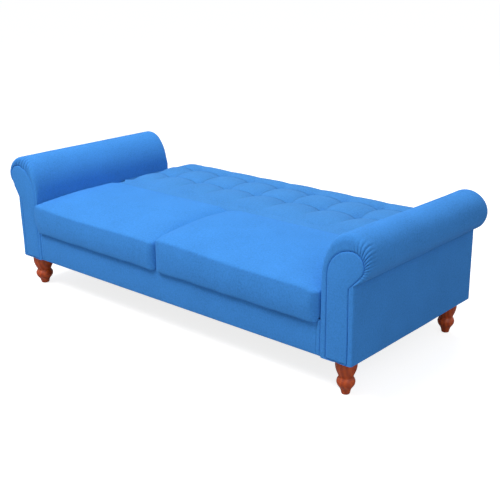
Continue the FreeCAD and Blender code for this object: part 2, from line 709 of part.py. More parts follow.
hinge_bolts("hinge_seat_bolts", "side_rail_outer - side_rail", "side_rail + plate",
            "side_rail_outer + plate", SEAT_SPOTS)
hinge_bolts("hinge_back_bolts", "cushion_end - back_rail", "back_rail + plate",
            "cushion_end + plate", BACK_SPOTS)


# Corners (y, z) of the flat spring under the lever, from the hinge axis.
LEAF = [(-100, -88), (-88, -86), (-66, -71.4), (4, -55.6), (4, -54.4), (-66, -70),
        (-90, -78), (-100, -80)]
both_sides("pawl_spring", prism("leaf_spring", "YZ_Plane", LEAF, "plate",
                                "side_rail_outer - plate", "axis_y", "axis_z"))


# --------------------------------------------------------------------- output
doc.recompute()
for item in doc.Objects:
    if {"Invalid", "Error"} & set(item.State):
        raise RuntimeError(f"{item.Label} failed: {item.State}")
for item in sub_parts:
    if item.Shape.isNull() or not item.Shape.isValid():
        raise RuntimeError(f"{item.Label} has no valid shape")

os.makedirs("parts", exist_ok=True)
for item in sub_parts:
    item.Shape.exportStep(f"parts/{item.Label}.step")
print(f"{len(sub_parts)} sub-parts written")
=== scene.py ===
# %% [markdown]
# # A click-clack sofa bed in blue cloth
# The sofa is shown folded flat.  Two scroll arms stand on turned legs, two boxed
# cushions make the seat, and the tufted back lies behind them as the other half of
# the bed.  The timber, springs and hinges inside are the fixed CAD parts of the
# frame; everything sewn or stuffed is modelled here around them.

# %% Load the fixed frame
import json
import math

import bmesh
import bpy
from mathutils import Matrix, Vector, noise


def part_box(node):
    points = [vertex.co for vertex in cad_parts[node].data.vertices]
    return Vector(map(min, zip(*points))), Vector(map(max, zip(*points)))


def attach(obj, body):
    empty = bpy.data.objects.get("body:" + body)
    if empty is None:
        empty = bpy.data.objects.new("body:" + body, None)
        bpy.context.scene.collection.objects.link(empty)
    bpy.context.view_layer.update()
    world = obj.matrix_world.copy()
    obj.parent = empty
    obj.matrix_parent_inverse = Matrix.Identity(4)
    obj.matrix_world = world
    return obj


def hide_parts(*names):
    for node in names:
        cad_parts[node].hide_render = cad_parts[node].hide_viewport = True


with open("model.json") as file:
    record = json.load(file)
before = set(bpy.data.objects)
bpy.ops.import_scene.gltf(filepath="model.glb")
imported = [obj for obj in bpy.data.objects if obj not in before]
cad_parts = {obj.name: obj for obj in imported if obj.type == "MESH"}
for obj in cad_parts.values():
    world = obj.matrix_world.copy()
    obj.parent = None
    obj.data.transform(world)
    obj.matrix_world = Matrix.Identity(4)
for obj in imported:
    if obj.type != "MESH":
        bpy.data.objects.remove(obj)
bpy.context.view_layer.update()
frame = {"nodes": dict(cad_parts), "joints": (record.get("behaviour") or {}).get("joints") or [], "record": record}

record = frame["record"]

# %% [markdown]
# ## Camera
# The view is from the front right and a little above, with the whole sofa in frame.
# A camera could be moved and turned until it looks right, but it is easier to aim
# from what it looks at: a target on the sofa, the turn round it, the height angle and
# the distance.  A matrix built from three axes puts it there, and a small roll levels
# the view.

# %% Camera
SENSOR = 36.0
LENS = 63.39
CAMERA_TARGET = Vector((0.2367, -0.1896, 0.35))
CAMERA_TURN = math.radians(41.41)
CAMERA_RISE = math.radians(18.57)
CAMERA_DISTANCE = 3.7356
CAMERA_ROLL = math.radians(-0.563)

away = Vector((math.sin(CAMERA_TURN) * math.cos(CAMERA_RISE),
               -math.cos(CAMERA_TURN) * math.cos(CAMERA_RISE),
               math.sin(CAMERA_RISE)))
level = Vector((math.cos(CAMERA_TURN), math.sin(CAMERA_TURN), 0))
upward = away.cross(level)
right = level * math.cos(CAMERA_ROLL) + upward * math.sin(CAMERA_ROLL)
top = upward * math.cos(CAMERA_ROLL) - level * math.sin(CAMERA_ROLL)

camera_data = bpy.data.cameras.new("camera")
camera_data.sensor_width = SENSOR
camera_data.lens = LENS
camera = bpy.data.objects.new("camera", camera_data)
bpy.context.scene.collection.objects.link(camera)
facing_matrix = Matrix((right, top, away)).transposed()
camera.matrix_world = Matrix.LocRotScale(CAMERA_TARGET + away * CAMERA_DISTANCE,
                                         facing_matrix.to_quaternion(), None)
bpy.context.scene.camera = camera
print("camera at", tuple(round(v, 3) for v in camera.location))

# %% [markdown]
# ## Small tools for shader nodes
# A shader is a chain of nodes.  Written out one by one, their links would fill pages.
# So three short functions make a node group, one node with its sockets set or linked,
# and one Math node, and a chain then reads as nested calls.

# %% Node helpers
def new_group(name, inputs, outputs):
    """A shader group with float or vector sockets: {name: (kind, default)}."""
    group = bpy.data.node_groups.new(name, "ShaderNodeTree")
    for label, (kind, value) in inputs.items():
        socket = group.interface.new_socket(label, in_out="INPUT", socket_type=kind)
        if value is not None:
            socket.default_value = value
    for label, kind in outputs.items():
        group.interface.new_socket(label, in_out="OUTPUT", socket_type=kind)
    return group, group.nodes.new("NodeGroupInput"), group.nodes.new("NodeGroupOutput")


def add_node(tree, kind, settings=None, **values):
    """A node with attributes from settings and sockets set or linked by name."""
    node = tree.nodes.new(kind)
    for label, value in (settings or {}).items():
        setattr(node, label, value)
    for label, value in values.items():
        slot = node.inputs[int(label[1:])] if label[1:].isdigit() else \
            node.inputs[label.replace("_", " ")]
        if isinstance(value, bpy.types.NodeSocket):
            tree.links.new(value, slot)
        else:
            slot.default_value = value
    return node


def calc(tree, operation, first, second=0.0, third=0.0):
    """One Math node's result."""
    node = add_node(tree, "ShaderNodeMath", {"operation": operation},
                    i0=first, i1=second, i2=third)
    return node.outputs[0]

# %% [markdown]
# ## Lamps
# A sofa in a bright white room has soft shadows.  Three broad lamps give them.  One
# above and behind lights the tops of the cushions.  One in front, high enough to throw
# a shadow under the cushions' overhang, lights the fronts.  A weak one on the right
# keeps that side in soft shade.

# %% Lamps
def area_lamp(name, place, aim, size, watts):
    """A square lamp that faces a point."""
    lamp = bpy.data.lights.new(name, "AREA")
    lamp.shape = "SQUARE"
    lamp.size = size
    lamp.energy = watts
    holder = bpy.data.objects.new(name, lamp)
    holder.location = place
    holder.rotation_euler = (Vector(aim) - Vector(place)).to_track_quat("-Z", "Y").to_euler()
    bpy.context.scene.collection.objects.link(holder)


area_lamp("key_lamp", (-0.3, 1.7, 4.6), (0.0, -0.1, 0.4), 2.4, 107)
area_lamp("front_lamp", (-1.2, -2.7, 4.2), (0.0, -0.4, 0.35), 1.8, 158)
area_lamp("side_lamp", (3.9, -2.0, 2.7), (0.9, -0.2, 0.4), 2.4, 38)
print("lamps:", ", ".join(lamp.name for lamp in bpy.data.lights))

# %% [markdown]
# ## World and floor
# The world fills in what the lamps leave dark, yet behind the sofa it has to be plain
# white.  One brightness can't do both, so a Light Path node gives the camera one
# background and the sofa another.  The floor works the same way: it glows white to the
# camera, and as it is also a matt surface it still darkens a little under the sofa.

# %% World and floor
WHITE = (1, 1, 1, 1)
WORLD_FILL = 0.42
FILL_TINT = (0.94, 0.97, 1.0, 1)
FLOOR_TONE = (0.5, 0.5, 0.5, 1)
FLOOR_GLOW = 0.80
FLOOR_HALF = 30.0

world = bpy.data.worlds.new("studio")
world.use_nodes = True
bpy.context.scene.world = world
tree = world.node_tree
tree.nodes.clear()
fill = add_node(tree, "ShaderNodeBackground", Color=FILL_TINT, Strength=WORLD_FILL)
shown = add_node(tree, "ShaderNodeBackground", Color=WHITE)
path = add_node(tree, "ShaderNodeLightPath")
seen = calc(tree, "MAXIMUM", path.outputs["Is Camera Ray"], path.outputs["Is Glossy Ray"])
seen = calc(tree, "MAXIMUM", seen, path.outputs["Is Transmission Ray"])
swap = add_node(tree, "ShaderNodeMixShader", i0=seen, i1=fill.outputs[0],
                i2=shown.outputs[0])
add_node(tree, "ShaderNodeOutputWorld", Surface=swap.outputs[0])

floor_material = bpy.data.materials.new("studio_floor")
floor_material.use_nodes = True
tree = floor_material.node_tree
tree.nodes.clear()
matt = add_node(tree, "ShaderNodeBsdfDiffuse", Color=FLOOR_TONE)
path = add_node(tree, "ShaderNodeLightPath")
dark = add_node(tree, "ShaderNodeEmission", Strength=0.0)
glow = add_node(tree, "ShaderNodeEmission", Strength=FLOOR_GLOW)
gate = add_node(tree, "ShaderNodeMixShader", i0=path.outputs["Is Camera Ray"],
                i1=dark.outputs[0], i2=glow.outputs[0])
total = add_node(tree, "ShaderNodeAddShader", i0=matt.outputs[0], i1=gate.outputs[0])
add_node(tree, "ShaderNodeOutputMaterial", Surface=total.outputs[0])

floor_mesh = bmesh.new()
bmesh.ops.create_grid(floor_mesh, x_segments=4, y_segments=4, size=FLOOR_HALF)
floor_data = bpy.data.meshes.new("studio_floor")
floor_mesh.to_mesh(floor_data)
floor_mesh.free()
floor_data.materials.append(floor_material)
floor = bpy.data.objects.new("studio_floor", floor_data)
bpy.context.scene.collection.objects.link(floor)

bpy.context.scene.view_settings.view_transform = "Standard"
print("studio ready")

# %% [markdown]
# ## Shared effect: plain weave
# A node group is a small machine with named inputs and outputs, built once and used
# in many materials.  Cloth could take a picture of threads, but that blurs close up.
# This group works the threads out from a UV map in metres, so that a thread is the
# same size on every piece.  It crosses two sets of rounded ridges whose width wanders
# a little, as spun yarn does.

# %% The plain weave group
FLOAT, VECTOR = "NodeSocketFloat", "NodeSocketVector"


def build_weave():
    """Plain weave: ridges both ways, with slubs that thicken single threads."""
    group, given, out = new_group(
        "plain_weave",
        {"Vector": (VECTOR, None), "Threads": (FLOAT, 900.0), "Slub": (FLOAT, 0.35)},
        {"Height": FLOAT, "Tone": FLOAT})
    split = add_node(group, "ShaderNodeSeparateXYZ", Vector=given.outputs["Vector"])
    wander = add_node(group, "ShaderNodeTexNoise", Vector=given.outputs["Vector"],
                      Scale=140.0, Detail=2.0)
    drift = calc(group, "MULTIPLY_ADD", wander.outputs["Fac"], 0.0022, -0.0011)
    ridges = []
    for axis in ("X", "Y"):
        shifted = calc(group, "ADD", split.outputs[axis], drift)
        turn = calc(group, "MULTIPLY", shifted, given.outputs["Threads"])
        swing = calc(group, "SINE", calc(group, "MULTIPLY", turn, math.tau / 2))
        ridges.append(calc(group, "ABSOLUTE", swing))
    cross = calc(group, "MULTIPLY", ridges[0], ridges[1])
    over = calc(group, "MAXIMUM", ridges[0], ridges[1])
    cloth = calc(group, "MULTIPLY_ADD", cross, 0.6, calc(group, "MULTIPLY", over, 0.4))
    slubs = []
    for stretch in ((26.0, 620.0, 1.0), (620.0, 26.0, 1.0)):
        scaled = add_node(group, "ShaderNodeVectorMath", {"operation": "MULTIPLY"},
                          i0=given.outputs["Vector"], i1=stretch)
        streak = add_node(group, "ShaderNodeTexNoise", Vector=scaled.outputs[0],
                          Scale=1.0, Detail=1.0)
        slubs.append(streak.outputs["Fac"])
    slub = calc(group, "MAXIMUM", slubs[0], slubs[1])
    uneven = calc(group, "MULTIPLY", calc(group, "SUBTRACT", slub, 0.5), given.outputs["Slub"])
    height = calc(group, "ADD", cloth, uneven)
    group.links.new(height, out.inputs["Height"])
    group.links.new(calc(group, "MULTIPLY_ADD", cloth, 0.5,
                         calc(group, "MULTIPLY", slub, 0.5)), out.inputs["Tone"])
    return group


weave_group = build_weave()
print("weave:", len(weave_group.nodes), "nodes")

# %% [markdown]
# ## Shared effect: wood grain
# Bare pine inside and varnished legs outside both need grain.  Bands bent by noise
# make the rings, and finer noise the pores.  Each material says how far the pattern
# is stretched along its boards.

# %% The wood grain group
def build_grain():
    """Wood grain: rings stretched along Z, with fine pores."""
    group, given, out = new_group(
        "wood_grain",
        {"Vector": (VECTOR, None), "Stretch": (VECTOR, (34.0, 34.0, 3.2))},
        {"Rings": FLOAT, "Pores": FLOAT})
    scaled = add_node(group, "ShaderNodeVectorMath", {"operation": "MULTIPLY"},
                      i0=given.outputs["Vector"], i1=given.outputs["Stretch"])
    bend = add_node(group, "ShaderNodeTexNoise", Vector=scaled.outputs[0], Scale=1.3,
                    Detail=3.0)
    swirl = add_node(group, "ShaderNodeTexWave", {"wave_type": "BANDS", "bands_direction": "X"},
                     Vector=scaled.outputs[0], Scale=1.1, Distortion=5.0, Detail=3.0)
    pores = add_node(group, "ShaderNodeTexNoise", Vector=scaled.outputs[0], Scale=9.0,
                     Detail=4.0, Roughness=0.7)
    rings = calc(group, "MULTIPLY_ADD", swirl.outputs["Fac"], 0.6,
                 calc(group, "MULTIPLY", bend.outputs["Fac"], 0.4))
    group.links.new(rings, out.inputs["Rings"])
    group.links.new(pores.outputs["Fac"], out.inputs["Pores"])
    return group


grain_group = build_grain()
print("grain:", len(grain_group.nodes), "nodes")

# %% [markdown]
# ## Shared effect: painted edge light
# Edges get a painted highlight, and seams and folds a painted shade.  Painting that by hand
# would take a map for every piece.  Pointiness measures how sharply the mesh bends at
# each place, so it can brighten the edges and darken the hollows of any piece.

# %% The painted edge light group
def build_edge_light():
    """Painted highlight on convex edges, painted shade down in seams and folds."""
    group, given, out = new_group(
        "painted_edge_light", {"Rubbed": (FLOAT, 0.12), "Dusky": (FLOAT, 0.3)}, {"Factor": FLOAT})
    shape = group.nodes.new("ShaderNodeNewGeometry")
    # painted highlight where the mesh bends outward, painted shade where it bends inward
    edge = add_node(group, "ShaderNodeMapRange", i0=shape.outputs["Pointiness"],
                    i1=0.505, i2=0.56, i3=0.0, i4=1.0).outputs[0]
    hollow = add_node(group, "ShaderNodeMapRange", i0=shape.outputs["Pointiness"],
                      i1=0.495, i2=0.43, i3=0.0, i4=1.0).outputs[0]
    brighter = calc(group, "MULTIPLY_ADD", edge, given.outputs["Rubbed"], 1.0)
    darker = calc(group, "MULTIPLY", hollow, given.outputs["Dusky"])
    group.links.new(calc(group, "SUBTRACT", brighter, darker), out.inputs["Factor"])
    return group


edge_light_group = build_edge_light()
print("groups:", weave_group.name, grain_group.name, edge_light_group.name)

# %% [markdown]
# ## Material tools
# Each finish keeps its own Principled BSDF.  Four steps come back in all of them: pick
# a colour as a screen shows it, spread it over a ramp, paint a highlight on its edges and
# shade in its hollows, and add a relief too fine for the mesh.  Each is a short function.

# %% Material tools
def new_material(name, **constants):
    """A material with a Principled BSDF, some of whose sockets are set by name."""
    material = bpy.data.materials.new(name)
    material.use_nodes = True
    tree = material.node_tree
    tree.nodes.clear()
    shader = add_node(tree, "ShaderNodeBsdfPrincipled", **constants)
    add_node(tree, "ShaderNodeOutputMaterial", Surface=shader.outputs[0])
    return material, tree, shader


def wire_surface(tree, shader, colour, height, strength, distance):
    """Wire a colour, and a fine relief that only shades, into a shader."""
    relief = add_node(tree, "ShaderNodeBump", Height=height, Strength=strength,
                      Distance=distance)
    tree.links.new(colour, shader.inputs["Base Color"])
    tree.links.new(relief.outputs[0], shader.inputs["Normal"])


def speckle_noise(tree, scale, detail, roughness):
    """Noise fixed to the object, for grain with no direction."""
    spot = add_node(tree, "ShaderNodeTexCoord")
    return add_node(tree, "ShaderNodeTexNoise", Vector=spot.outputs["Object"], Scale=scale,
                    Detail=detail, Roughness=roughness).outputs["Fac"]


def ramp(tree, factor, stops):
    """A colour ramp from (position, colour) stops."""
    node = tree.nodes.new("ShaderNodeValToRGB")
    tree.links.new(factor, node.inputs[0])
    points = node.color_ramp.elements
    while len(points) < len(stops):
        points.new(0.5)
    for point, (position, colour) in zip(points, stops):
        point.position = position
        point.color = (*colour, 1)
    return node.outputs["Color"]


def from_screen(red, green, blue):
    """A colour picked as 0 to 255 screen values, as linear light."""
    def linear(value):
        value /= 255
        return value / 12.92 if value <= 0.04045 else ((value + 0.055) / 1.055) ** 2.4
    return tuple(linear(v) for v in (red, green, blue))


def shade(colour, factor):
    """A darker or lighter version of a colour."""
    return tuple(min(v * factor, 1.0) for v in colour)


def with_edge_light(tree, tint, rubbed, dusky):
    """A colour with a painted highlight on edges and painted shade in hollows."""
    edge_light = add_node(tree, "ShaderNodeGroup", {"node_tree": edge_light_group}, Rubbed=rubbed,
                    Dusky=dusky)
    return add_node(tree, "ShaderNodeVectorMath", {"operation": "SCALE"}, Vector=tint,
                    Scale=edge_light.outputs["Factor"]).outputs[0]

# %% [markdown]
# ## Cloth
# The cover is a rough linen-like cloth with a soft sheen at glancing angles.  Threads
# alone look like plastic net from afar, so broad patches and small flecks are mixed
# into their tone.  The shares are numbers at the top, easy to turn up or down.

# %% Cloth
SHEEN_TINT = (0.5, 0.7, 1.0, 1)
FLECK, PATCH, THREAD = 0.70, 0.3, 0.35      # shares of spots, broad patches and threads
TONE_SHIFT = -0.175
CONTRAST = 0.22
THREADS_PER_METRE = 900.0
# shares of the painted highlight on edges and the painted shade in seams and folds
CLOTH_HIGHLIGHT, CLOTH_SHADE = 0.08, 0.55


def cloth_material(name, colour):
    """Woven cloth of one colour."""
    material, tree, shader = new_material(
        name, Sheen_Weight=0.06, Sheen_Roughness=0.45, Sheen_Tint=SHEEN_TINT,
        Specular_IOR_Level=0.02)
    spot = add_node(tree, "ShaderNodeTexCoord")
    weave = add_node(tree, "ShaderNodeGroup", {"node_tree": weave_group},
                     Vector=spot.outputs["UV"], Threads=THREADS_PER_METRE)
    patch = speckle_noise(tree, 6.0, 4.0, 0.6)
    fleck = speckle_noise(tree, 150.0, 2.0, 0.7)
    mottle = calc(tree, "MULTIPLY_ADD", fleck, FLECK,
                  calc(tree, "MULTIPLY_ADD", patch, PATCH, TONE_SHIFT))
    tone = calc(tree, "MULTIPLY_ADD", weave.outputs["Tone"], THREAD, mottle)
    tint = ramp(tree, tone, [(0.25, shade(colour, 1 - CONTRAST)), (0.5, colour),
                             (0.78, shade(colour, 1 + CONTRAST * 0.8))])
    rough = calc(tree, "MULTIPLY_ADD", weave.outputs["Tone"], -0.08, 0.93)
    tree.links.new(rough, shader.inputs["Roughness"])
    # the cloth's tint gets a painted highlight on edges and painted shade in seams and folds
    wire_surface(tree, shader, with_edge_light(tree, tint, CLOTH_HIGHLIGHT, CLOTH_SHADE),
                 weave.outputs["Height"], 0.3, 0.0005)
    return material

# %% [markdown]
# ## Wood
# Pine and plywood are bare, and the legs have a thin varnish.  One maker serves all
# three: rings and pores choose between a dark, a middle and a light tone, and a coat
# is laid over it where there is varnish.

# %% Wood
# shares of the painted highlight on edges and the painted shade in hollows of the wood
WOOD_HIGHLIGHT, WOOD_SHADE = 0.25, 0.35


def wood_material(name, dark, middle, light, rough, stretch, coat=0.0):
    """Wood with rings and pores, bare or under varnish."""
    material, tree, shader = new_material(name, Coat_Weight=coat, Coat_Roughness=0.22)
    spot = add_node(tree, "ShaderNodeTexCoord")
    grain = add_node(tree, "ShaderNodeGroup", {"node_tree": grain_group},
                     Vector=spot.outputs["Object"], Stretch=stretch)
    mixed = calc(tree, "MULTIPLY_ADD", grain.outputs["Pores"], 0.35,
                 calc(tree, "MULTIPLY", grain.outputs["Rings"], 0.65))
    tint = ramp(tree, mixed, [(0.2, dark), (0.5, middle), (0.8, light)])
    tree.links.new(calc(tree, "MULTIPLY_ADD", grain.outputs["Pores"], 0.18, rough - 0.09),
                   shader.inputs["Roughness"])
    # the wood's tint gets a painted highlight on edges and painted shade in hollows
    wire_surface(tree, shader, with_edge_light(tree, tint, WOOD_HIGHLIGHT, WOOD_SHADE),
                 grain.outputs["Pores"], 0.12, 0.0006)
    return material

# %% [markdown]
# ## Metal and soft goods
# Hinges and springs are plated or oiled steel; felt, foam, lining and rubber have no
# shine.  They are small or hidden, so one speckle is enough for their colour, their
# roughness and their relief.

# %% Metal and soft goods
def metal_material(name, colour, metallic, rough, speckle=0.2):
    """Plated or coated metal with fine handling marks."""
    material, tree, shader = new_material(name, Metallic=metallic)
    marks = speckle_noise(tree, 320.0, 5.0, 0.65)
    tint = ramp(tree, marks,
                [(0.3, shade(colour, 1 - speckle)), (0.7, shade(colour, 1 + speckle))])
    tree.links.new(calc(tree, "MULTIPLY_ADD", marks, 0.2, rough - 0.1),
                   shader.inputs["Roughness"])
    wire_surface(tree, shader, tint, marks, 0.08, 0.0003)
    return material


def soft_material(name, colour, scale, rough=0.95, bump=0.3):
    """Felt, foam, lining or rubber: a fine grain with no direction."""
    material, tree, shader = new_material(name, Roughness=rough)
    fuzz = speckle_noise(tree, scale, 6.0, 0.7)
    tint = ramp(tree, fuzz, [(0.3, shade(colour, 0.8)), (0.7, shade(colour, 1.2))])
    wire_surface(tree, shader, tint, fuzz, bump, 0.001)
    return material

# %% [markdown]
# ## The finishes of this sofa
# One cloth covers the whole sofa; the back takes a copy of it in a duller blue, which is
# painted shade that makes the back darker than the seat.  Every fixed part takes the
# finish that its record names, so a table from name to material is all it needs.

# %% The finishes of this sofa
blue_cloth = cloth_material("blue_cloth", from_screen(63, 132, 205))
# painted shade: the same blue cloth made darker, so that the back reads darker than the seat
shaded_back_cloth = cloth_material("shaded_back_cloth", from_screen(67, 130, 194))
leg_varnish = wood_material("leg_varnish", from_screen(148, 50, 2), from_screen(172, 62, 4),
                            from_screen(190, 77, 9), rough=0.50, coat=0.05,
                            stretch=(18, 18, 2.4))
PINE = [from_screen(166, 124, 78), from_screen(198, 158, 108), from_screen(220, 186, 138)]
finishes = {
    "blue_fabric": blue_cloth,
    "tie_fabric": shaded_back_cloth,
    "leg_wood": leg_varnish,
    "timber": wood_material("planed_pine", *PINE, rough=0.7, stretch=(3.2, 34, 34)),
    "plywood": wood_material("sawn_plywood", *PINE, rough=0.75, stretch=(12, 90, 12)),
    "hardboard": soft_material("hardboard", from_screen(120, 88, 60), 500.0, 0.8, 0.1),
    "foam": soft_material("cream_foam", from_screen(236, 230, 208), 420.0),
    "felt": soft_material("grey_felt", from_screen(120, 120, 124), 700.0),
    "lining": soft_material("black_lining", from_screen(34, 34, 38), 900.0),
    "rubber_pad": soft_material("black_rubber", from_screen(26, 26, 26), 1200.0, 0.6, 0.1),
    "clip_plastic": soft_material("clip_nylon", from_screen(222, 222, 216), 600.0, 0.45, 0.05),
    "zinc_steel": metal_material("zinc_plate", (0.62, 0.62, 0.64), 1.0, 0.38),
    "hinge_steel": metal_material("hinge_coating", (0.045, 0.045, 0.05), 0.2, 0.5, 0.4),
    "spring_steel": metal_material("oiled_wire", (0.30, 0.30, 0.32), 1.0, 0.45),
}
for part in record["subparts"]:
    mesh = frame["nodes"][part["node"]].data
    mesh.materials.clear()
    mesh.materials.append(finishes[part["material_slot"]])
print("finishes:", ", ".join(finishes))

# %% [markdown]
# ## Making pieces
# A sewn cover is a flat sheet bent into place.  It could be sculpted, but then a
# change of size would mean sculpting again.  So each cover starts as a grid from one
# operator, and a function says where every row and column of it goes.  finish_piece
# makes an object at the origin that rides on its body.

# %% Piece helpers
SIDES = {"right": 1, "left": -1}


def finish_piece(name, bm, body, replaced=(), material=blue_cloth):
    """Turn a bmesh into an object that rides on a body."""
    bmesh.ops.recalc_face_normals(bm, faces=bm.faces)
    data = bpy.data.meshes.new(name)
    for face in bm.faces:
        face.smooth = True
    bm.to_mesh(data)
    bm.free()
    data.materials.append(material)
    piece = bpy.data.objects.new(name, data)
    bpy.context.scene.collection.objects.link(piece)
    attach(piece, body)
    if replaced:
        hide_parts(*replaced)
    print(f"{name}: {len(data.polygons)} faces")
    return piece


def box_uv(bm):
    """A UV map in metres, laid on each face from the side it looks to."""
    layer = bm.loops.layers.uv.verify()
    for face in bm.faces:
        normal = [abs(v) for v in face.normal]
        drop = normal.index(max(normal))
        keep = [axis for axis in range(3) if axis != drop]
        for loop in face.loops:
            loop[layer].uv = (loop.vert.co[keep[0]], loop.vert.co[keep[1]])


def wrapped_sheet(columns, rows, place):
    """A grid whose vertex in each column and row goes to place(column, row)."""
    bm = bmesh.new()
    bmesh.ops.create_grid(bm, x_segments=columns, y_segments=rows, size=0.5)
    for vert in bm.verts:
        column = round((vert.co.x + 0.5) * columns)
        row = round((vert.co.y + 0.5) * rows)
        vert.co = place(column, row)
    return bm

# %% [markdown]
# ## Soft curves
# Stuffing has no hard steps.  A few short curves go smoothly from 0 to 1 or back, and
# every dip, swell and overhang below is one of them times a depth.  Noise adds the
# slow unevenness that hand stuffing leaves.

# %% Soft curves
def held(value):
    """A value held between 0 and 1."""
    return min(max(value, 0.0), 1.0)


def smoothstep(edge_low, edge_high, value):
    """0 below the first edge, 1 above the second, smooth between."""
    t = held((value - edge_low) / (edge_high - edge_low))
    return t * t * (3 - 2 * t)


def fade(edge_low, edge_high, value):
    """1 below the first edge, 0 above the second, smooth between."""
    return 1 - smoothstep(edge_low, edge_high, value)


def swell(share):
    """A quarter of a wave: steep at 0, level from 1 on."""
    return math.sin(math.pi / 2 * min(share, 1.0))


def quarter_round(share):
    """A quarter of a circle: level at 0, down to nothing at 1."""
    return math.sqrt(max(1 - share * share, 0.0))


def ripple(point, size, depth):
    """Slow unevenness of stuffing under cloth."""
    return noise.noise(Vector(point) / size) * depth

# %% [markdown]
# ## The scroll outline
# An arm's end view is a keyhole: straight sides, a round roll that overhangs the
# outer side, and a shoulder that runs smoothly from the inner side into the roll.
# A drawn curve would do for one arm.  But cloth has to run from this outline to the
# smaller one of the facing, so both need the same number of points, and lines and
# arcs with counted steps give that.  The two arms were stuffed by hand and differ:
# the left roll is pulled flat underneath.

# %% Outlines of the arm
arm_low, arm_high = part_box("arm_cover_right")
facing_low, facing_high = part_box("arm_front_facing_right")
ARM_INNER = arm_low[0]
ARM_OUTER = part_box("arm_outer_pad_right")[1][0] + 0.002
UNDER = arm_low[2]
ROLL = 0.091
ROLL_X = arm_high[0] - ROLL
ROLL_Z = arm_high[2] - ROLL
SHOULDER = 0.180
SHOULDER_X = ARM_INNER + SHOULDER
SHOULDER_Z = ROLL_Z - math.sqrt((SHOULDER - ROLL) ** 2 - (SHOULDER_X - ROLL_X) ** 2)
MEET = math.atan2(ROLL_Z - SHOULDER_Z, ROLL_X - SHOULDER_X)
FLAT_ANGLE = math.radians(-33)
FLAT_REACH = 0.0785
FLAT_BLEND = 0.003
SOFT = 0.006
HALF = math.pi / 2
STEPS = {"bottom": 8, "corner": 4, "outer": 44, "roll": 200, "shoulder": 40, "inner": 44}


def line_points(start, end, count):
    """Evenly spaced points from start up to, not including, end."""
    return [(start[0] + (end[0] - start[0]) * i / count,
             start[1] + (end[1] - start[1]) * i / count) for i in range(count)]


def arc_points(centre, radii, start, end, count):
    """Points on an arc, not including its end."""
    points = []
    for i in range(count):
        angle = start + (end - start) * i / count
        points.append((centre[0] + radii[0] * math.cos(angle),
                       centre[1] + radii[1] * math.sin(angle)))
    return points


def knee_angle(side, inset=0.0):
    """Where on the roll, seen from its centre, the arm's outer side meets it."""
    across = ARM_OUTER - inset - ROLL_X
    if side == "right":
        return -math.acos(across / (ROLL - inset))
    reach = (FLAT_REACH - inset) / across
    return math.atan((reach - math.cos(FLAT_ANGLE)) / math.sin(FLAT_ANGLE))


def roll_radius(side, angle, inset=0.0):
    """The roll's radius: round on the right, pulled flat underneath on the left."""
    if side == "right" or angle > FLAT_ANGLE + 1.1:
        return ROLL - inset
    flat = (FLAT_REACH - inset) / math.cos(angle - FLAT_ANGLE)
    if angle < FLAT_ANGLE:
        return flat
    blend = math.exp(-(ROLL - inset) / FLAT_BLEND) + math.exp(-flat / FLAT_BLEND)
    return -FLAT_BLEND * math.log(blend)


def end_view(inner, outer, floor_z, over, shoulder_z):
    """A flat bottom with soft corners and straight sides, closed by the points over it."""
    corner = (SOFT, SOFT)
    return (
        line_points((inner + SOFT, floor_z), (outer - SOFT, floor_z), STEPS["bottom"])
        + arc_points((outer - SOFT, floor_z + SOFT), corner, -HALF, 0, STEPS["corner"])
        + line_points((outer, floor_z + SOFT), over[0], STEPS["outer"])
        + over
        + line_points((inner, shoulder_z), (inner, floor_z + SOFT), STEPS["inner"])
        + arc_points((inner + SOFT, floor_z + SOFT), corner, math.pi, math.pi * 1.5,
                     STEPS["corner"]))


def scroll_outline(side, inset=0.0):
    """The arm's end view, counter-clockwise from the inner bottom corner."""
    knee = knee_angle(side, inset)
    roll = []
    for i in range(STEPS["roll"]):
        angle = knee + (MEET - knee) * i / STEPS["roll"]
        radius = roll_radius(side, angle, inset)
        roll.append((ROLL_X + radius * math.cos(angle), ROLL_Z + radius * math.sin(angle)))
    shoulder = arc_points((SHOULDER_X, SHOULDER_Z), (SHOULDER - inset,) * 2, MEET, math.pi,
                          STEPS["shoulder"])
    return end_view(ARM_INNER + inset, ARM_OUTER - inset, UNDER + inset, roll + shoulder,
                    SHOULDER_Z)


scrolls = {side: scroll_outline(side) for side in SIDES}
print(len(scrolls["left"]), "points round an arm")

# %% [markdown]
# ## The facing's outline
# The panel on the arm's front repeats the keyhole at a smaller size.  Its head is
# round, its brow is part of an ellipse, and a short slope under the head leads to the
# straight side.  The left arm's panel is the larger one.

# %% Outlines of the facings
HEAD = 0.050
HEADS = {"right": {"x": facing_high[0] - HEAD, "z": facing_high[2] - HEAD, "radius": HEAD,
                   "inner": facing_low[0], "outer": facing_high[0] - 0.061,
                   "brow": facing_high[0] - HEAD - facing_low[0],
                   "cheek": math.radians(-42)},
         "left": {"x": 0.970, "z": 0.537, "radius": 0.056, "inner": ARM_INNER + 0.018,
                  "outer": 0.957, "brow": 0.143, "cheek": FLAT_ANGLE}}


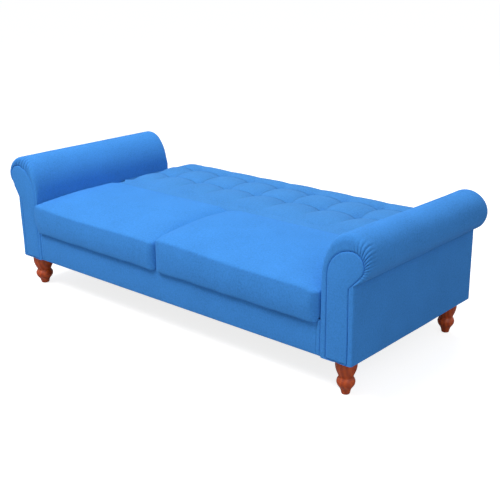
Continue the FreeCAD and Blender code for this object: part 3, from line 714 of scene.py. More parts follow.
def facing_outline(side):
    """The keyhole facing on the arm's front, with the scroll outline's steps."""
    head = HEADS[side]
    size, cheek = head["radius"], head["cheek"]
    cheek_x = head["x"] + size * math.cos(cheek)
    cheek_z = head["z"] + size * math.sin(cheek)
    notch_z = cheek_z + (cheek_x - head["outer"]) / math.tan(cheek)
    brow_centre = (head["x"], head["z"] + size - head["brow"])
    brow = (head["x"] - head["inner"], head["brow"])
    per_angle = STEPS["roll"] / (MEET - knee_angle(side))
    diagonal = round((cheek - knee_angle(side)) * per_angle)
    round_head = round((HALF - cheek) * per_angle)
    rest = STEPS["roll"] - diagonal - round_head
    share = HALF * rest / (rest + STEPS["shoulder"])
    over = (line_points((head["outer"], notch_z), (cheek_x, cheek_z), diagonal)
            + arc_points((head["x"], head["z"]), (size, size), cheek, HALF, round_head)
            + arc_points(brow_centre, brow, HALF, HALF + share, rest)
            + arc_points(brow_centre, brow, HALF + share, math.pi, STEPS["shoulder"]))
    return end_view(head["inner"], head["outer"], UNDER, over, brow_centre[1])


keyholes = {side: facing_outline(side) for side in SIDES}
print(len(keyholes["left"]), "points round a facing")

# %% [markdown]
# ## How the cloth runs along an arm
# The cover runs along the arm, turns over the front edge and ends in the seam round
# the facing.  A bevelled solid would turn by the same amount everywhere, but here the
# cloth turns tightly on the flat sides and widely on the roll.  So for each point of
# the scroll outline, a path of points in space says where the cloth goes.

# %% Paths of the arm's cloth
FRONT_Y = facing_low[1]
REAR_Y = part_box("arm_rear_facing_right")[1][1]
SEAM_SINK = 0.0070
REAR_INSET = 0.045
ROLL_SAG = {"right": 0.011, "left": 0.0}
WRAP_ROUND = 12
WRAP_FLAT = 6
WRAP_SEAM = 6
ALONG = 92
REAR_ROUND = 8
ROLL_STARTS = (0.43, 0.52)      # heights between which the side becomes the roll
TURN = 0.007                    # radius of the front edge beside the facing
TURN_GAIN = 0.62                # how much of the wider gap at the roll it takes up
TURN_MOST = 0.031
LIP = 0.0075                    # where the cloth begins to dip into the seam
ROLL_LIP = 0.0055
TUCK = 0.005                    # cloth sewn in behind the facing
REAR_TURN = 0.006
REAR_TUCK = 0.002


def quarter_turn(radius, count):
    """(inset, set-back) steps of an edge rounded by a quarter circle."""
    angles = [math.pi / 2 * i / count for i in range(count + 1)]
    return [(radius * (1 - math.cos(a)), radius * (1 - math.sin(a))) for a in angles]


def path_of(steps, outer, inner, gap):
    """Places in space for (inset, y) steps between two outline points."""
    path = []
    for inset, y in steps:
        share = inset / max(gap, 0.0001)
        path.append((outer[0] + (inner[0] - outer[0]) * share, y,
                     outer[1] + (inner[1] - outer[1]) * share))
    return path


def front_wrap(outer, inner):
    """The path of cloth from the side, over the front edge, into the seam."""
    gap = math.dist(outer, inner)
    on_roll = smoothstep(*ROLL_STARTS, outer[1])
    turn = min(TURN + on_roll * TURN_GAIN * max(gap - 0.010, 0.0), 0.7 * gap + 0.0005,
               TURN_MOST)
    front = FRONT_Y + 0.004 * fade(0.0, 0.006, gap)
    steps = [(inset, front + back) for inset, back in quarter_turn(turn, WRAP_ROUND)]
    lip = max(gap - LIP - ROLL_LIP * on_roll, turn)
    steps += [(turn + (lip - turn) * i / WRAP_FLAT, front) for i in range(1, WRAP_FLAT + 1)]
    for i in range(1, WRAP_SEAM + 1):
        angle = math.pi / 2 * i / WRAP_SEAM
        steps.append((lip + (gap - lip) * math.sin(angle),
                      front + SEAM_SINK * (1 - math.cos(angle))))
    steps.append((gap, front + SEAM_SINK + TUCK))
    return path_of(steps, outer, inner, gap)


def rear_wrap(outer, inner):
    """The path from the rear seam, over the rear edge, to the side."""
    gap = math.dist(outer, inner)
    on_roll = smoothstep(ROLL_Z - 0.095, ROLL_Z - 0.03, outer[1])
    inside = fade(ARM_INNER, ARM_INNER + 0.03, outer[0])
    turn = REAR_TURN + max(0.020 * on_roll, 0.005 * inside)
    steps = [(gap, REAR_Y - 0.012), (gap, REAR_Y - 0.004), (gap - 0.003, REAR_Y),
             (gap - 0.012, REAR_Y + REAR_TUCK)]
    steps += [(inset, REAR_Y + REAR_TUCK - back)
              for inset, back in reversed(quarter_turn(turn, REAR_ROUND))]
    return path_of(steps, outer, inner, gap)


def sag(side, point):
    """How much lower an arm's roll hangs towards its rear end."""
    return ROLL_SAG[side] * smoothstep(ROLL_Z - 0.09, ROLL_Z + ROLL, point[2]) \
        * smoothstep(FRONT_Y, REAR_Y - 0.1, point[1])

# %% [markdown]
# ## Arm covers
# On the roll there is more cloth than seam, so the maker gathers it: short creases
# start deep and narrow at the seam and widen as they run out over the roll.  Each one
# has its own angle, length and depth, and the cloth between two of them bulges a
# little.  A bump in the material could fake them, but they show in the outline, so
# they are in the mesh.  Reach is the way along the cloth from the seam.

# %% Arm covers
GATHER_WIDTH = math.radians(1.5)
GATHERS = {
    "right": [(-44, 0.040, 0.0018), (-34, 0.052, 0.0030), (-24, 0.060, 0.0040),
              (-14, 0.070, 0.0048), (-5, 0.074, 0.0052), (4, 0.084, 0.0056),
              (13, 0.080, 0.0054), (22, 0.094, 0.0058), (31, 0.086, 0.0050),
              (41, 0.096, 0.0054), (52, 0.088, 0.0044), (64, 0.080, 0.0036),
              (78, 0.070, 0.0026), (94, 0.060, 0.0018)],
    "left": [(4, 0.040, 0.0018), (22, 0.046, 0.0026), (38, 0.052, 0.0034),
             (52, 0.058, 0.0044), (64, 0.066, 0.0056), (75, 0.074, 0.0066),
             (85, 0.080, 0.0074), (95, 0.084, 0.0080), (105, 0.088, 0.0082),
             (115, 0.088, 0.0080), (125, 0.084, 0.0072), (135, 0.076, 0.0060),
             (146, 0.062, 0.0040)],
}
CREASE_GROWTH = (0.8, 1.4)      # width of a gather at its seam, and how it grows
GATHER_BULGE = 0.30
KNEE_REACH = 0.022
KNEE_PASSES = {"right": 4, "left": 24}
COVER_UNEVEN = (0.13, 0.0018)


def gather_lift(side, angle, reach):
    """Rise or fall of the cloth at an angle round the roll and a reach from the seam."""
    lift = 0.0
    for degrees, length, depth in GATHERS[side]:
        width = GATHER_WIDTH * (CREASE_GROWTH[0] + CREASE_GROWTH[1] * min(reach / length, 1.0))
        off = (angle - math.radians(degrees)) / width
        if abs(off) < 5 and reach < length:
            left_over = (1 - reach / length) ** 0.8 * smoothstep(-0.002, 0.006, reach)
            lift -= depth * math.exp(-off * off) * left_over
            lift += GATHER_BULGE * depth * math.exp(-(off * 0.4) ** 2) * left_over
    return lift


def lengths_along(points):
    """For each point of a path, its distance from the start along the path."""
    lengths = [0.0]
    for near, far in zip(points, points[1:]):
        lengths.append(lengths[-1] + math.dist(near, far))
    return lengths


def cover_paths(side):
    """For each outline point, the whole path of the cloth and its angle on the roll."""
    paths, angles = [], []
    for outer, inner, rear in zip(scrolls[side], keyholes[side],
                                  scroll_outline("right", REAR_INSET)):
        first, last = rear_wrap(outer, rear), front_wrap(outer, inner)
        start_y, end_y = first[-1][1], last[0][1]
        middle = [(outer[0], start_y + (end_y - start_y) * i / ALONG, outer[1])
                  for i in range(1, ALONG)]
        paths.append(first + middle + last)
        angles.append(math.atan2(outer[1] - ROLL_Z, outer[0] - ROLL_X)
                      if outer[1] > ROLL_Z - 0.1 else -math.pi)
    return paths, angles


def arm_cover(side, sign):
    """One arm's cover, closed at both ends behind its facings."""
    paths, angles = cover_paths(side)
    columns, rows = len(paths), len(paths[0]) - 1
    bm = wrapped_sheet(columns, rows, lambda column, row: paths[column % columns][row])
    reaches = [[value - TUCK for value in lengths_along(path[::-1])[::-1]] for path in paths]
    around = lengths_along(scrolls[side] + scrolls[side][:1])
    uv = bm.loops.layers.uv.verify()
    gathered = bm.verts.layers.float.new("gathered")
    bm.verts.index_update()
    for vert in bm.verts:
        column, row = vert.index % (columns + 1) % columns, vert.index // (columns + 1)
        vert[gathered] = gather_lift(side, angles[column], reaches[column][row])
    for face in bm.faces:
        for loop in face.loops:
            loop[uv].uv = (around[loop.vert.index % (columns + 1)], loop.vert.co.y)
    bmesh.ops.remove_doubles(bm, verts=bm.verts, dist=0.00002)
    bmesh.ops.holes_fill(bm, edges=[e for e in bm.edges if e.is_boundary], sides=0)
    knee_z = ROLL_Z + roll_radius(side, knee_angle(side)) * math.sin(knee_angle(side))
    knee = [v for v in bm.verts if abs(v.co.z - knee_z) < KNEE_REACH
            and v.co.x > ARM_OUTER - 0.004 and v.co.y > FRONT_Y + 0.001]
    for _ in range(KNEE_PASSES[side]):
        bmesh.ops.smooth_vert(bm, verts=knee, factor=0.5, use_axis_x=True, use_axis_z=True)
    bmesh.ops.recalc_face_normals(bm, faces=bm.faces)
    bm.normal_update()
    moves = []
    for vert in bm.verts:
        x, y, z = vert.co
        lift = vert[gathered] + ripple((x, y * 0.5, z), *COVER_UNEVEN)
        moves.append((vert, vert.normal * lift - Vector((0, 0, sag(side, vert.co)))))
    for vert, move in moves:
        vert.co += move
    bm.verts.layers.float.remove(gathered)
    bmesh.ops.scale(bm, vec=(sign, 1, 1), verts=bm.verts)
    piece = finish_piece(f"arm_upholstery_{side}", bm, "base",
                         (f"arm_cover_{side}", f"arm_roll_{side}",
                          f"arm_inner_pad_{side}", f"arm_outer_pad_{side}"))


for side, sign in SIDES.items():
    arm_cover(side, sign)

# %% [markdown]
# ## Arm facings
# A facing is a board with wadding under cloth, pressed into the seam.  A box with
# bevelled edges would have an even, hard border.  Here it starts as one flat face,
# and each inset draws the outline in and lifts it, which gives the soft border.

# %% Arm facings
FRONT_LIFTS = ((0.0010, 0.0020), (0.0022, 0.0016), (0.0045, 0.0010))
REAR_LIFTS = ((0.0010, 0.0016), (0.0030, 0.0010), (0.0060, 0.0006))
FACING_THICK = 0.006


def facing(name, side, outline, y, outward, lifts, replaced):
    """A padded panel from an outline at depth y, swelling towards outward."""
    bm = bmesh.new()
    bmesh.ops.create_circle(bm, cap_ends=True, segments=len(outline), radius=1.0)
    bm.verts.ensure_lookup_table()
    for vert, (x, z) in zip(bm.verts, outline):
        vert.co = (x, y, z - sag(side, (x, y, z)))
    made = bmesh.ops.extrude_face_region(bm, geom=bm.faces[:])
    front = next(g for g in made["geom"] if isinstance(g, bmesh.types.BMFace))
    lifted = [g for g in made["geom"] if isinstance(g, bmesh.types.BMVert)]
    bmesh.ops.translate(bm, vec=(0, outward * FACING_THICK, 0), verts=lifted)
    bmesh.ops.recalc_face_normals(bm, faces=bm.faces)
    for draw_in, rise in lifts:
        bmesh.ops.inset_region(bm, faces=[front], thickness=draw_in, depth=rise)
    bmesh.ops.scale(bm, vec=(SIDES[side], 1, 1), verts=bm.verts)
    box_uv(bm)
    piece = finish_piece(name, bm, "base", replaced)


for side in SIDES:
    facing(f"arm_facing_front_{side}", side, keyholes[side], FRONT_Y + SEAM_SINK + 0.003, -1,
           FRONT_LIFTS, (f"arm_front_facing_{side}",))
    facing(f"arm_facing_rear_{side}", side, scroll_outline("right", REAR_INSET + 0.0005),
           REAR_Y - 0.006, 1, REAR_LIFTS, (f"arm_rear_facing_{side}",))

# %% [markdown]
# ## Sliced boxes
# Cushions, rails and felt are all boxes with soft edges.  A subdivided cube would
# bunch its faces at the edges.  So a cube is bevelled first and then cut into even
# strips in all three directions, which leaves a grid that bends well.

# %% Sliced boxes
def round_edges(bm, chosen, radius, segments):
    """Round some of a mesh's edges."""
    bmesh.ops.bevel(bm, geom=[e for e in bm.edges if chosen(e)], offset=radius,
                    segments=segments, profile=0.5, affect="EDGES", material=-1)


def slice_at(bm, point, direction, reach):
    """Cut a mesh along a plane and keep both halves."""
    bmesh.ops.bisect_plane(bm, geom=bm.verts[:] + bm.edges[:] + bm.faces[:],
                           plane_co=point, plane_no=direction, dist=reach)


def stuffed_box(low, high, corner, top, bottom, spacing, far_corner=None):
    """A box with its upright corners, top and bottom rounded, cut into even strips.

    The corners at the high end of X may have a radius of their own."""
    bm = bmesh.new()
    bmesh.ops.create_cube(bm, size=1.0)
    for vert in bm.verts:
        vert.co = [low[axis] if vert.co[axis] < 0 else high[axis] for axis in range(3)]
    middle = [(low[axis] + high[axis]) / 2 for axis in range(3)]
    radii = (corner, far_corner or corner)
    for far, radius in enumerate(radii):
        round_edges(bm, lambda e: (e.verts[0].co.z - middle[2]) * (e.verts[1].co.z - middle[2])
                    < 0 and (e.verts[0].co.x > middle[0]) == bool(far), radius, 7)
    corner = min(radii)
    for level, radius in ((high[2], top), (low[2], bottom)):
        round_edges(bm, lambda e: all(abs(v.co.z - level) < 1e-6 for v in e.verts), radius, 4)
    for axis in range(3):
        start, end = (low[2] + bottom, high[2] - top) if axis == 2 else \
            (low[axis] + corner, high[axis] - corner)
        cuts = max(int((end - start) / spacing), 1)
        direction = Vector([float(i == axis) for i in range(3)])
        for i in range(cuts + 1):
            point = [0, 0, 0]
            point[axis] = start + (end - start) * i / cuts
            slice_at(bm, point, direction, 1e-5)
    return bm

# %% [markdown]
# ## Swelling
# A boxed cushion is a top and a bottom panel with a strip sewn between them.  The
# seams stay where they are sewn, and the panels swell between them.  The cloth
# simulation does just that with a little pressure and the seams pinned, and its
# result is kept as the mesh.  A cap on the swell keeps the size true.

# %% Swelling with the cloth simulation
CLOTH = {"quality": 5, "mass": 0.3, "tension_stiffness": 12, "compression_stiffness": 12,
         "bending_stiffness": 0.5, "use_pressure": True}
CLOTH_FRAMES = 20


def puff(piece, pinned, pressure, cap):
    """Swell a piece with the cloth simulation and keep the result."""
    group = piece.vertex_groups.new(name="sewn")
    for index, weight in pinned.items():
        group.add([index], weight, "REPLACE")
    cloth = piece.modifiers.new("cloth", "CLOTH")
    for label, value in CLOTH.items():
        setattr(cloth.settings, label, value)
    cloth.settings.uniform_pressure_force = pressure
    cloth.settings.effector_weights.gravity = 0
    cloth.settings.vertex_group_mass = group.name
    cloth.point_cache.frame_start = 1
    cloth.point_cache.frame_end = CLOTH_FRAMES
    scene = bpy.context.scene
    for step in range(1, CLOTH_FRAMES + 1):
        scene.frame_set(step)
    graph = bpy.context.evaluated_depsgraph_get()
    swollen = [v.co.copy() for v in piece.evaluated_get(graph).data.vertices]
    piece.modifiers.remove(cloth)
    piece.vertex_groups.remove(group)
    largest = 0.0
    for vert, target in zip(piece.data.vertices, swollen):
        move = target - vert.co
        largest = max(largest, move.length)
        if move.length > cap:
            move *= cap / move.length
        vert.co += move
    scene.frame_set(1)
    print(f"{piece.name}: swelled by up to {largest * 1000:.1f} mm")


def subdivided(piece):
    """One level of subdivision, the same on screen and in the render."""
    surface = piece.modifiers.new("smooth", "SUBSURF")
    surface.levels = 1
    surface.render_levels = 1

# %% [markdown]
# ## Seat cushions
# Each cushion rises from a crisp front seam to a crest near the fold, dips towards its
# neighbour and the arm, and hangs a little over the rail.  A simulation alone would
# blow up two equal pillows.  The real ones are not twins, so the crown is set first:
# the right cushion is fuller at the split, the left one at its arm.

# %% Shape of a seat
seat_low, seat_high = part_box("seat_cushion_right")
axis_y, axis_z = frame["joints"][0]["pos_m"][1:]
SEAT_FRONT = seat_low[1] + 0.003
SEAT_REAR = seat_high[1]
SEAT_FLOOR = seat_low[2] + 0.001
SEAT_BROW = 0.416
SEAT_CREST = seat_high[2] + 0.007
SEAT_END = ARM_INNER - 0.0015
HINGE_END = seat_high[0] - 0.001
SEAT_SPREAD = {"right": 0.0, "left": 0.022}
SEAT_BULGE = 0.009
SEAT_SPLIT = {"right": -0.0156, "left": 0.0164}
SEAT_CORNERS = {"right": (0.019, 0.040), "left": (0.040, 0.017)}
SEAT_DROOP = 0.011
DROOP_LEAN = 0.006
CORNER_DIP = {"right": (0.001, 0.007), "left": (0.005, -0.003)}
SIDE_DIP = {"right": (0.007, 0.019), "left": (0.017, 0.008)}
INNER_FILL = {"right": 0.017, "left": 0.0}
OUTER_FILL = {"right": -0.003, "left": 0.011}
VALLEY = {"right": 0.006, "left": 0.013}
rail_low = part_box("front_rail_cover")[0]
SEAT_EDGES = (0.010, 0.009)                 # radius of the top and bottom seams
SEAT_STRIP = 0.0115
SEAT_PRESSURE, SEAT_SWELL = 2.2, 0.009
SEAT_UNEVEN = ((0.09, 0.0016), (0.035, 0.0006))
CREST_AT = 0.78                             # share of the depth where the top is highest
VALLEY_WIDTH = 0.022
BROW_DIP = 0.005
REAR_DIP = 0.010


def seat_crown(side, x, y):
    """Height of the cushion's top above its front brow."""
    across = min(x - SEAT_SPLIT[side], SEAT_END - x)
    along = (y - SEAT_FRONT) / (SEAT_REAR - SEAT_FRONT)
    rise = (SEAT_CREST - SEAT_BROW) * swell(along / CREST_AT)
    outer = x - SEAT_SPLIT[side] > SEAT_END - x
    side_dip = SIDE_DIP[side][outer] * fade(0.0, 0.070, across) \
        * (0.3 + 0.7 * min(along * 2.5, 1))
    front_dip = CORNER_DIP[side][outer] * fade(0.0, 0.07, across) * fade(0, 0.2, along)
    brow_dip = BROW_DIP * fade(0.0, 0.05, y - SEAT_FRONT)
    valley = VALLEY[side] * fade(0.0, VALLEY_WIDTH, x - SEAT_SPLIT[side])
    fuller = INNER_FILL[side] * fade(0.0, 0.55, x) * (1 - min(along, 1.0) ** 3) \
        + OUTER_FILL[side] * smoothstep(SEAT_END - 0.25, SEAT_END, x) \
        * math.cos(math.pi / 2 * min(along / 0.7, 1.0))
    return rise + fuller - side_dip - front_dip - brow_dip - valley


for side, split in SEAT_SPLIT.items():
    middle = (split + SEAT_END) / 2
    crest = SEAT_BROW + seat_crown(side, middle, SEAT_FRONT + 0.5)
    print(f"{side} seat: {SEAT_END - split:.3f} m wide, crest at {crest:.3f} m")

# %% [markdown]
# ## The two seats
# The box takes its crown first, then its differences by place: narrow beside the
# hinge, wide in front of the arm, full at the front and hanging over the rail.  The
# cloth simulation then puffs what the seams leave free.

# %% The two seats
def seat_cushion(side, sign):
    """A boxed seat cushion, swollen between its seams."""
    low = (SEAT_SPLIT[side], SEAT_FRONT, SEAT_FLOOR)
    high = (SEAT_END, SEAT_REAR, SEAT_BROW)
    near_corner, far_corner = SEAT_CORNERS[side]
    bm = stuffed_box(low, high, near_corner, *SEAT_EDGES, SEAT_STRIP, far_corner)
    for vert in bm.verts:
        x, y, z = vert.co
        share = (z - SEAT_FLOOR) / (SEAT_BROW - SEAT_FLOOR)
        vert.co.z = z + seat_crown(side, x, y) * share
        over_hinge = max(fade(axis_y - 0.160, axis_y - 0.130, y),
                         smoothstep(axis_z - 0.026, axis_z - 0.006, vert.co.z))
        narrow = HINGE_END / SEAT_END
        vert.co.x = x * (narrow + (1 - narrow) * over_hinge)
        ahead = fade(FRONT_Y - 0.004, FRONT_Y + 0.006, y)
        vert.co.x += SEAT_SPREAD[side] * ahead * smoothstep(SEAT_END - 0.10, SEAT_END, x) \
            * smoothstep(0.0, 0.45, share) * (1 - 0.4 * smoothstep(0.8, 1.0, share))
        vert.co.y -= SEAT_BULGE * math.sin(math.pi * held(share)) ** 0.8 \
            * fade(SEAT_FRONT + 0.006, SEAT_FRONT + 0.03, y) \
            * smoothstep(0.0, 0.05, min(x - SEAT_SPLIT[side], SEAT_END - x))
        hanging = fade(rail_low[1] - 0.004, rail_low[1] - 0.001, y)
        wave = ripple((x, 0, 0), 0.11, 0.0040)
        droop = SEAT_DROOP + DROOP_LEAN * sign * x / SEAT_END + wave
        vert.co.z -= droop * hanging * fade(0.0, 0.7, share)
        rear = smoothstep(SEAT_REAR - 0.030, SEAT_REAR, y) * smoothstep(0.75, 1.0, share)
        vert.co.z -= REAR_DIP * rear * rear
    box_uv(bm)
    bmesh.ops.scale(bm, vec=(sign, 1, 1), verts=bm.verts)
    piece = finish_piece(f"seat_upholstery_{side}", bm, "base", (f"seat_cushion_{side}",))
    pinned = {}
    for vert in piece.data.vertices:
        x, y, z = abs(vert.co.x), vert.co.y, vert.co.z
        share = (z - SEAT_FLOOR) / (SEAT_BROW + seat_crown(side, x, y) - SEAT_FLOOR)
        at_front = y < SEAT_FRONT + 0.014
        at_side = x < 0.018 or x > HINGE_END - 0.004
        if share < 0.06 or y > SEAT_REAR - 0.030:
            pinned[vert.index] = 1.0
        elif (at_front or at_side) and share > 0.93:
            pinned[vert.index] = 0.8
        elif at_side:
            pinned[vert.index] = 0.9
    puff(piece, pinned, SEAT_PRESSURE, SEAT_SWELL)
    for vert in piece.data.vertices:
        free = smoothstep(SEAT_FLOOR + 0.02, SEAT_FLOOR + 0.06, vert.co.z) \
            * fade(SEAT_REAR - 0.08, SEAT_REAR - 0.03, vert.co.y) \
            * smoothstep(0.02, 0.05, abs(vert.co.x)) \
            * smoothstep(0.01, 0.04, SEAT_END - abs(vert.co.x))
        vert.co += vert.normal * free * sum(ripple(vert.co, *step) for step in SEAT_UNEVEN)
    subdivided(piece)


for side, sign in SIDES.items():
    seat_cushion(side, sign)

# %% [markdown]
# ## The tufted back
# Twine pulls the cloth down at a grid of points.  Between them the stuffing rises in
# soft square biscuits: the valleys are sharp where they reach a tuft and fade out
# towards the plain front border.  A simulation with pinned points needs a very fine
# mesh for that, so the height of the cloth is given by a formula instead.

# %% Shape of the back
back_low, back_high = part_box("back_cushion")
tuft_low, tuft_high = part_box("tuft_ties")
BUTTON = 0.009
TUFT_ROWS = (tuft_low[1] + BUTTON, tuft_high[1] - BUTTON)
TUFT_COLUMNS = 8
TUFT_PITCH = (tuft_high[0] - tuft_low[0] - 2 * BUTTON) / (TUFT_COLUMNS - 1)
BACK_NOSE = axis_y - back_low[1]
BACK_REAR_EDGE = 0.024
BACK_END = ARM_INNER - 0.002
PLATE_END = back_high[0] + 0.0036
HUB_CLEAR = 0.024
NOSE_DROP = 0.025
BACK_CORNER, BACK_EDGE, BACK_STRIP = 0.020, 0.010, 0.0068
MOUND = 0.0140
PULL, PULL_WIDTH = 0.0165, 0.024
CREASE, CREASE_WIDTH = 0.0090, 0.023
LANE, LANE_WIDTH = 0.0060, 0.021
FOLD_ANGLES = [math.radians(degrees) for degrees in (24, 36, 48, 60, 72)]


def nose_share(y):
    """How strongly the back's front border slopes down to the fold."""
    return (1 - held((y - axis_y + 0.02) / 0.14)) ** 2


def fold(distance, width):
    """A soft V: 1 in the crease, dying away to both sides."""
    return math.exp(-abs(distance / width) ** 1.25)


def tuft_relief(x, y):
    """Height of the cloth over the tuft grid, above or below the plain top."""
    phase = (x / TUFT_PITCH + 0.5) % 1.0
    off_x = min(phase, 1 - phase) * TUFT_PITCH
    if abs(x) > TUFT_PITCH * (TUFT_COLUMNS - 1) / 2:
        off_x = abs(x) - TUFT_PITCH * (TUFT_COLUMNS - 1) / 2
    bulge = swell(off_x / (TUFT_PITCH / 2))
    front_row, rear_row = TUFT_ROWS
    before = fade(0.02, 0.17, front_row - y)
    behind = 1 - 0.85 * smoothstep(0.0, 0.07, y - rear_row)
    crease = CREASE * fold(off_x, CREASE_WIDTH) * before * behind
    lanes = sum(fold(y - row, LANE_WIDTH) for row in TUFT_ROWS)
    pulls = sum(fold(math.hypot(off_x, y - row), PULL_WIDTH) for row in TUFT_ROWS)
    rows = (back_low[1] + 0.07, front_row, rear_row, back_high[1])
    mound = 0.0
    for start, end in zip(rows, rows[1:]):
        if start < y < end:
            mound = math.sin(math.pi * (y - start) / (end - start)) ** 0.7
    past_rear = smoothstep(0.0, 0.06, y - rear_row)
    scallop = 0.65 - 0.45 * past_rear
    return MOUND * mound * (1 - 0.4 * past_rear) * (1 - scallop + scallop * bulge) - crease \
        - (LANE + 0.004 * (1 - bulge)) * lanes - PULL * pulls


def back_reach(y, z):
    """How far out the back's end may swell beside the hinge and the arm."""
    radius = math.hypot(y - axis_y, z - axis_z)
    above = smoothstep(axis_y - 0.012, axis_y + 0.012, y) * smoothstep(0.0, 0.022, z - axis_z)
    behind = smoothstep(axis_y + 0.035, axis_y + 0.075, y)
    clear = max(above * smoothstep(HUB_CLEAR, HUB_CLEAR + 0.014, radius), behind)
    for angle in FOLD_ANGLES:
        sunk = NOSE_DROP * nose_share(y) * 0.5 \
            + 0.014 * smoothstep(axis_y + 0.025, axis_y + 0.065, y)
        ahead, up = y - axis_y, z - sunk - axis_z
        turned_y = ahead * math.cos(angle) - up * math.sin(angle)
        turned_z = ahead * math.sin(angle) + up * math.cos(angle)
        clear = min(clear, max(smoothstep(0.0265, 0.034, turned_z),
                               smoothstep(0.023, 0.045, turned_y)))
    return PLATE_END + (BACK_END - PLATE_END) * clear


print(f"{len(TUFT_ROWS) * TUFT_COLUMNS} tufts, {TUFT_PITCH:.3f} m apart")

# %% [markdown]
# ## The folding back
# The back is one stuffed box.  Its front border is a half round about the fold, so
# that it can turn, and its ends draw in beside the hinges at every angle it turns to.

# %% The tufted back
def tufted_back():
    """The back's upholstery, closed all round, riding on the folding back."""
    low = (-BACK_END, back_low[1], back_low[2] + 0.001)
    high = (BACK_END, back_high[1], back_high[2])
    bm = stuffed_box(low, high, BACK_CORNER, BACK_EDGE, BACK_EDGE, BACK_STRIP)
    for vert in bm.verts:
        x, y, z = vert.co
        reach = back_reach(y, z)
        vert.co.x = x * reach / BACK_END
        if z > axis_z and y < axis_y:
            vert.co.z = axis_z + (z - axis_z) * quarter_round(held((axis_y - y) / BACK_NOSE))
        rear = back_high[1] - y
        if z > back_high[2] - 0.05 and rear < BACK_REAR_EDGE:
            vert.co.z -= BACK_REAR_EDGE * (1 - quarter_round(1 - rear / BACK_REAR_EDGE)) * 0.8 \
                * smoothstep(back_high[2] - 0.05, back_high[2] - 0.01, z)
    bm.normal_update()
    for vert in bm.verts:
        x, y, z = vert.co
        if z > axis_z + 0.004:
            facing_up = smoothstep(0.1, 0.8, vert.normal.z)
            from_end = smoothstep(0.0, 0.05, back_reach(y, z) - abs(x))
            end_dip = (0.010 + 0.011 * fade(0.13, 0.36, y)) \
                * fade(0.0, 0.08, back_reach(y, z) - abs(x)) \
                * smoothstep(axis_y + 0.025, axis_y + 0.065, y)
            relief = tuft_relief(x, y) * from_end + ripple((x, y, 0), 0.09, 0.0014)
            vert.co.z += (relief - end_dip) * facing_up
        lower = smoothstep(axis_z, back_high[2], z) * nose_share(y)
        vert.co.z -= NOSE_DROP * lower * (1 - 0.55 * smoothstep(0.77, 0.81, abs(x)))
    box_uv(bm)
    # the back wears the darker copy of the cloth, which is painted shade
    piece = finish_piece("back_upholstery", bm, "backrest", ("back_cushion",),
                         material=shaded_back_cloth)


tufted_back()

# %% [markdown]
# ## Hinge caps
# A flap of the same cloth hides the top of each fixed hinge plate.  It is small and
# nearly flat, so a thin sliced box is enough.

# %% Hinge caps
CAP_FRONT, CAP_REAR = -0.024, 0.028
CAP_CLEAR, CAP_TOP = 0.0002, 0.0040

for side, sign in SIDES.items():
    plate_low, plate_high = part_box(f"hinge_seat_plate_{side}")
    near = min(abs(plate_low[0]), abs(plate_high[0]))
    bm = stuffed_box((near, CAP_FRONT, plate_high[2] + CAP_CLEAR),
                     (ARM_INNER - 0.0006, CAP_REAR, plate_high[2] + CAP_TOP),
                     0.0016, 0.0014, 0.0010, 0.006)
    bmesh.ops.scale(bm, vec=(sign, 1, 1), verts=bm.verts)
    box_uv(bm)
    cap = finish_piece(f"hinge_cap_{side}", bm, "base")

# %% [markdown]
# ## Rail covers
# The front and rear rails are boards in the same cloth, with thin wadding that softens
# their edges and a seam near each end.  Each is a sliced box with a slight swell.  A
# few more cuts at the seam let the groove be part of the mesh.

# %% Rail covers
END_SEAM = ARM_INNER - 0.018
SEAM_DEPTH, SEAM_WIDTH = 0.0015, 0.0016
RAIL_SWELL = 0.0022
RAIL_END = ARM_INNER - 0.0005
RAIL_CORNER, RAIL_EDGE, RAIL_STRIP = 0.004, 0.005, 0.014


def rail_cover(name, node):
    """A wrapped rail between the arms."""
    low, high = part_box(node)
    bm = stuffed_box((-RAIL_END, low[1], low[2]), (RAIL_END, high[1], high[2]), RAIL_CORNER,
                     RAIL_EDGE, RAIL_EDGE, RAIL_STRIP)
    for step in (-0.005, -0.0015, 0, 0.0015, 0.005):
        for x in (-END_SEAM - step, END_SEAM + step):
            slice_at(bm, (x, 0, 0), (1, 0, 0), 1e-6)
    for vert in bm.verts:
        x, y, z = vert.co
        share = min(z - low[2], high[2] - z) / (high[2] - low[2]) * 2
        bulge = RAIL_SWELL * swell(share * 1.6)
        face_side = 1 if y > (low[1] + high[1]) / 2 else -1
        seam = SEAM_DEPTH * math.exp(-((abs(x) - END_SEAM) / SEAM_WIDTH) ** 2)
        vert.co.y += face_side * (bulge - seam + ripple((x, 0, z), 0.16, 0.0010))
    box_uv(bm)
    piece = finish_piece(name, bm, "base", (node,))


for end in ("front", "rear"):
    rail_cover(f"{end}_rail_upholstery", f"{end}_rail_cover")

# %% [markdown]
# ## Legs
# Each leg is turned on a lathe: a small rounded foot, a ball, a narrow neck and a cone
# up to the wide top.  Stacked cones would show their joints.  Spinning one edge line
# round the leg's axis makes it in one go, as the lathe does.

# %% Legs
LEG_PROFILE = ((0.0000, 0.0), (0.0128, 0.0), (0.0150, 0.0010), (0.0160, 0.0032),
               (0.0172, 0.0100), (0.0186, 0.0160), (0.0208, 0.0225), (0.0248, 0.0282),
               (0.0296, 0.0346), (0.0332, 0.0420), (0.0346, 0.0500), (0.0338, 0.0568),
               (0.0312, 0.0626), (0.0282, 0.0672), (0.0268, 0.0706), (0.0276, 0.0742),
               (0.0296, 0.0790), (0.0330, 0.0870), (0.0362, 0.0960), (0.0386, 0.1040),
               (0.0400, 0.1120), (0.0406, 0.1220), (0.0406, 0.1440), (0.0396, 0.1456),
               (0.0000, 0.1456))
LEG_TURNS = 64
LEG_STOUT = 1.03
STOUTEST_LEG = ("front", "left")
STOUTEST = 1.20


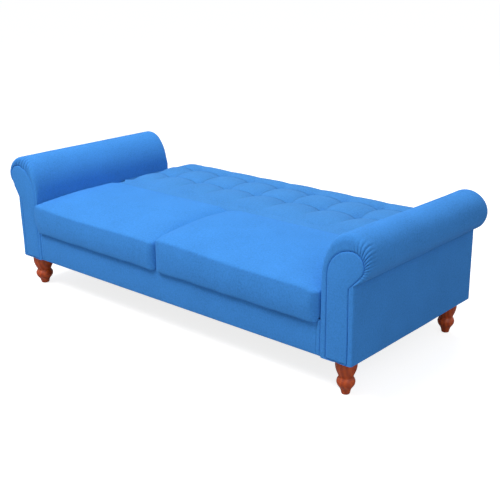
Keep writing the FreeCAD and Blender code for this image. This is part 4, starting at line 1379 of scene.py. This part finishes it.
def turned_leg(name, node, stout):
    """A lathe-turned leg round the axis of its CAD node."""
    low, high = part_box(node)
    centre = ((low[0] + high[0]) / 2, (low[1] + high[1]) / 2, low[2])
    stretch = (high[2] - low[2]) / LEG_PROFILE[-1][1]
    bm = bmesh.new()
    rim = [bm.verts.new((centre[0] + radius * stout, centre[1], centre[2] + height * stretch))
           for radius, height in LEG_PROFILE]
    edges = [bm.edges.new(pair) for pair in zip(rim, rim[1:])]
    bmesh.ops.spin(bm, geom=rim + edges, cent=centre, axis=(0, 0, 1), angle=math.tau,
                   steps=LEG_TURNS, use_merge=True, use_duplicate=False)
    bmesh.ops.remove_doubles(bm, verts=bm.verts, dist=0.00005)
    piece = finish_piece(name, bm, "base", (node,), leg_varnish)
    subdivided(piece)


for end in ("front", "rear"):
    for side in ("left", "right"):
        turned_leg(f"turned_leg_{end}_{side}", f"leg_{end}_{side}",
                   STOUTEST if (end, side) == STOUTEST_LEG else LEG_STOUT)

# %% [markdown]
# ## Thin linings
# Under the seat a black lining keeps the dust out, and another closes the back's
# rear.  Both are single sheets tacked round their edges.  A flat box would look like
# board.  So a sheet starts as a grid, sags a little between its tacks, and gets its
# thickness last.

# %% Thin linings
LINING_THICK = 0.0012
LINING_STRIP = 0.02
SEAT_LINING_SAG, BACK_LINING_SAG = 0.004, 0.002


def tacked_sheet(name, node, body, sag_depth):
    """A level sheet across a node's box, sagging in its middle."""
    low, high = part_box(node)
    spans = [high[i] - low[i] for i in range(2)]
    columns, rows = [max(int(span / LINING_STRIP), 2) for span in spans]
    level_z = (low[2] + high[2]) / 2

    def place(column, row):
        across, along = column / columns, row / rows
        x, y = low[0] + spans[0] * across, low[1] + spans[1] * along
        belly = math.sin(math.pi * across) ** 0.5 * math.sin(math.pi * along) ** 0.5
        return (x, y, level_z - sag_depth * belly + ripple((x, y, 0), 0.12, 0.0006) * belly)

    bm = wrapped_sheet(columns, rows, place)
    uv = bm.loops.layers.uv.verify()
    for face in bm.faces:
        for loop in face.loops:
            loop[uv].uv = (loop.vert.co.x, loop.vert.co.y)
    bmesh.ops.solidify(bm, geom=bm.faces[:], thickness=LINING_THICK)
    piece = finish_piece(name, bm, body, (node,), finishes["lining"])


tacked_sheet("seat_dust_lining", "dust_cover", "base", SEAT_LINING_SAG)
tacked_sheet("back_rear_lining", "back_rear_cloth", "backrest", BACK_LINING_SAG)

# %% [markdown]
# ## Felt layers
# Felt lies over the springs and keeps them from cutting into the stuffing.  It is
# hidden in use, so a thin sliced box with a little unevenness serves.

# %% Felt layers
FELT_EDGE, FELT_STRIP = 0.0008, 0.03


def felt_layer(name, node, body):
    """A felt pad that lies over the springs, a little uneven."""
    low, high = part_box(node)
    bm = stuffed_box(low, high, FELT_EDGE, FELT_EDGE, FELT_EDGE, FELT_STRIP)
    for vert in bm.verts:
        vert.co.z += ripple((vert.co.x, vert.co.y, 0), 0.07, 0.0006)
    box_uv(bm)
    piece = finish_piece(name, bm, body, (node,), finishes["felt"])


felt_layer("seat_felt_pad", "seat_felt", "base")
felt_layer("back_felt_pad", "back_felt", "backrest")

# %% [markdown]
# ## Last update
# The view layer is brought up to date.  The looks may stand a little proud of the
# fixed parts, and no more.

# %% Last update
bpy.context.view_layer.update()
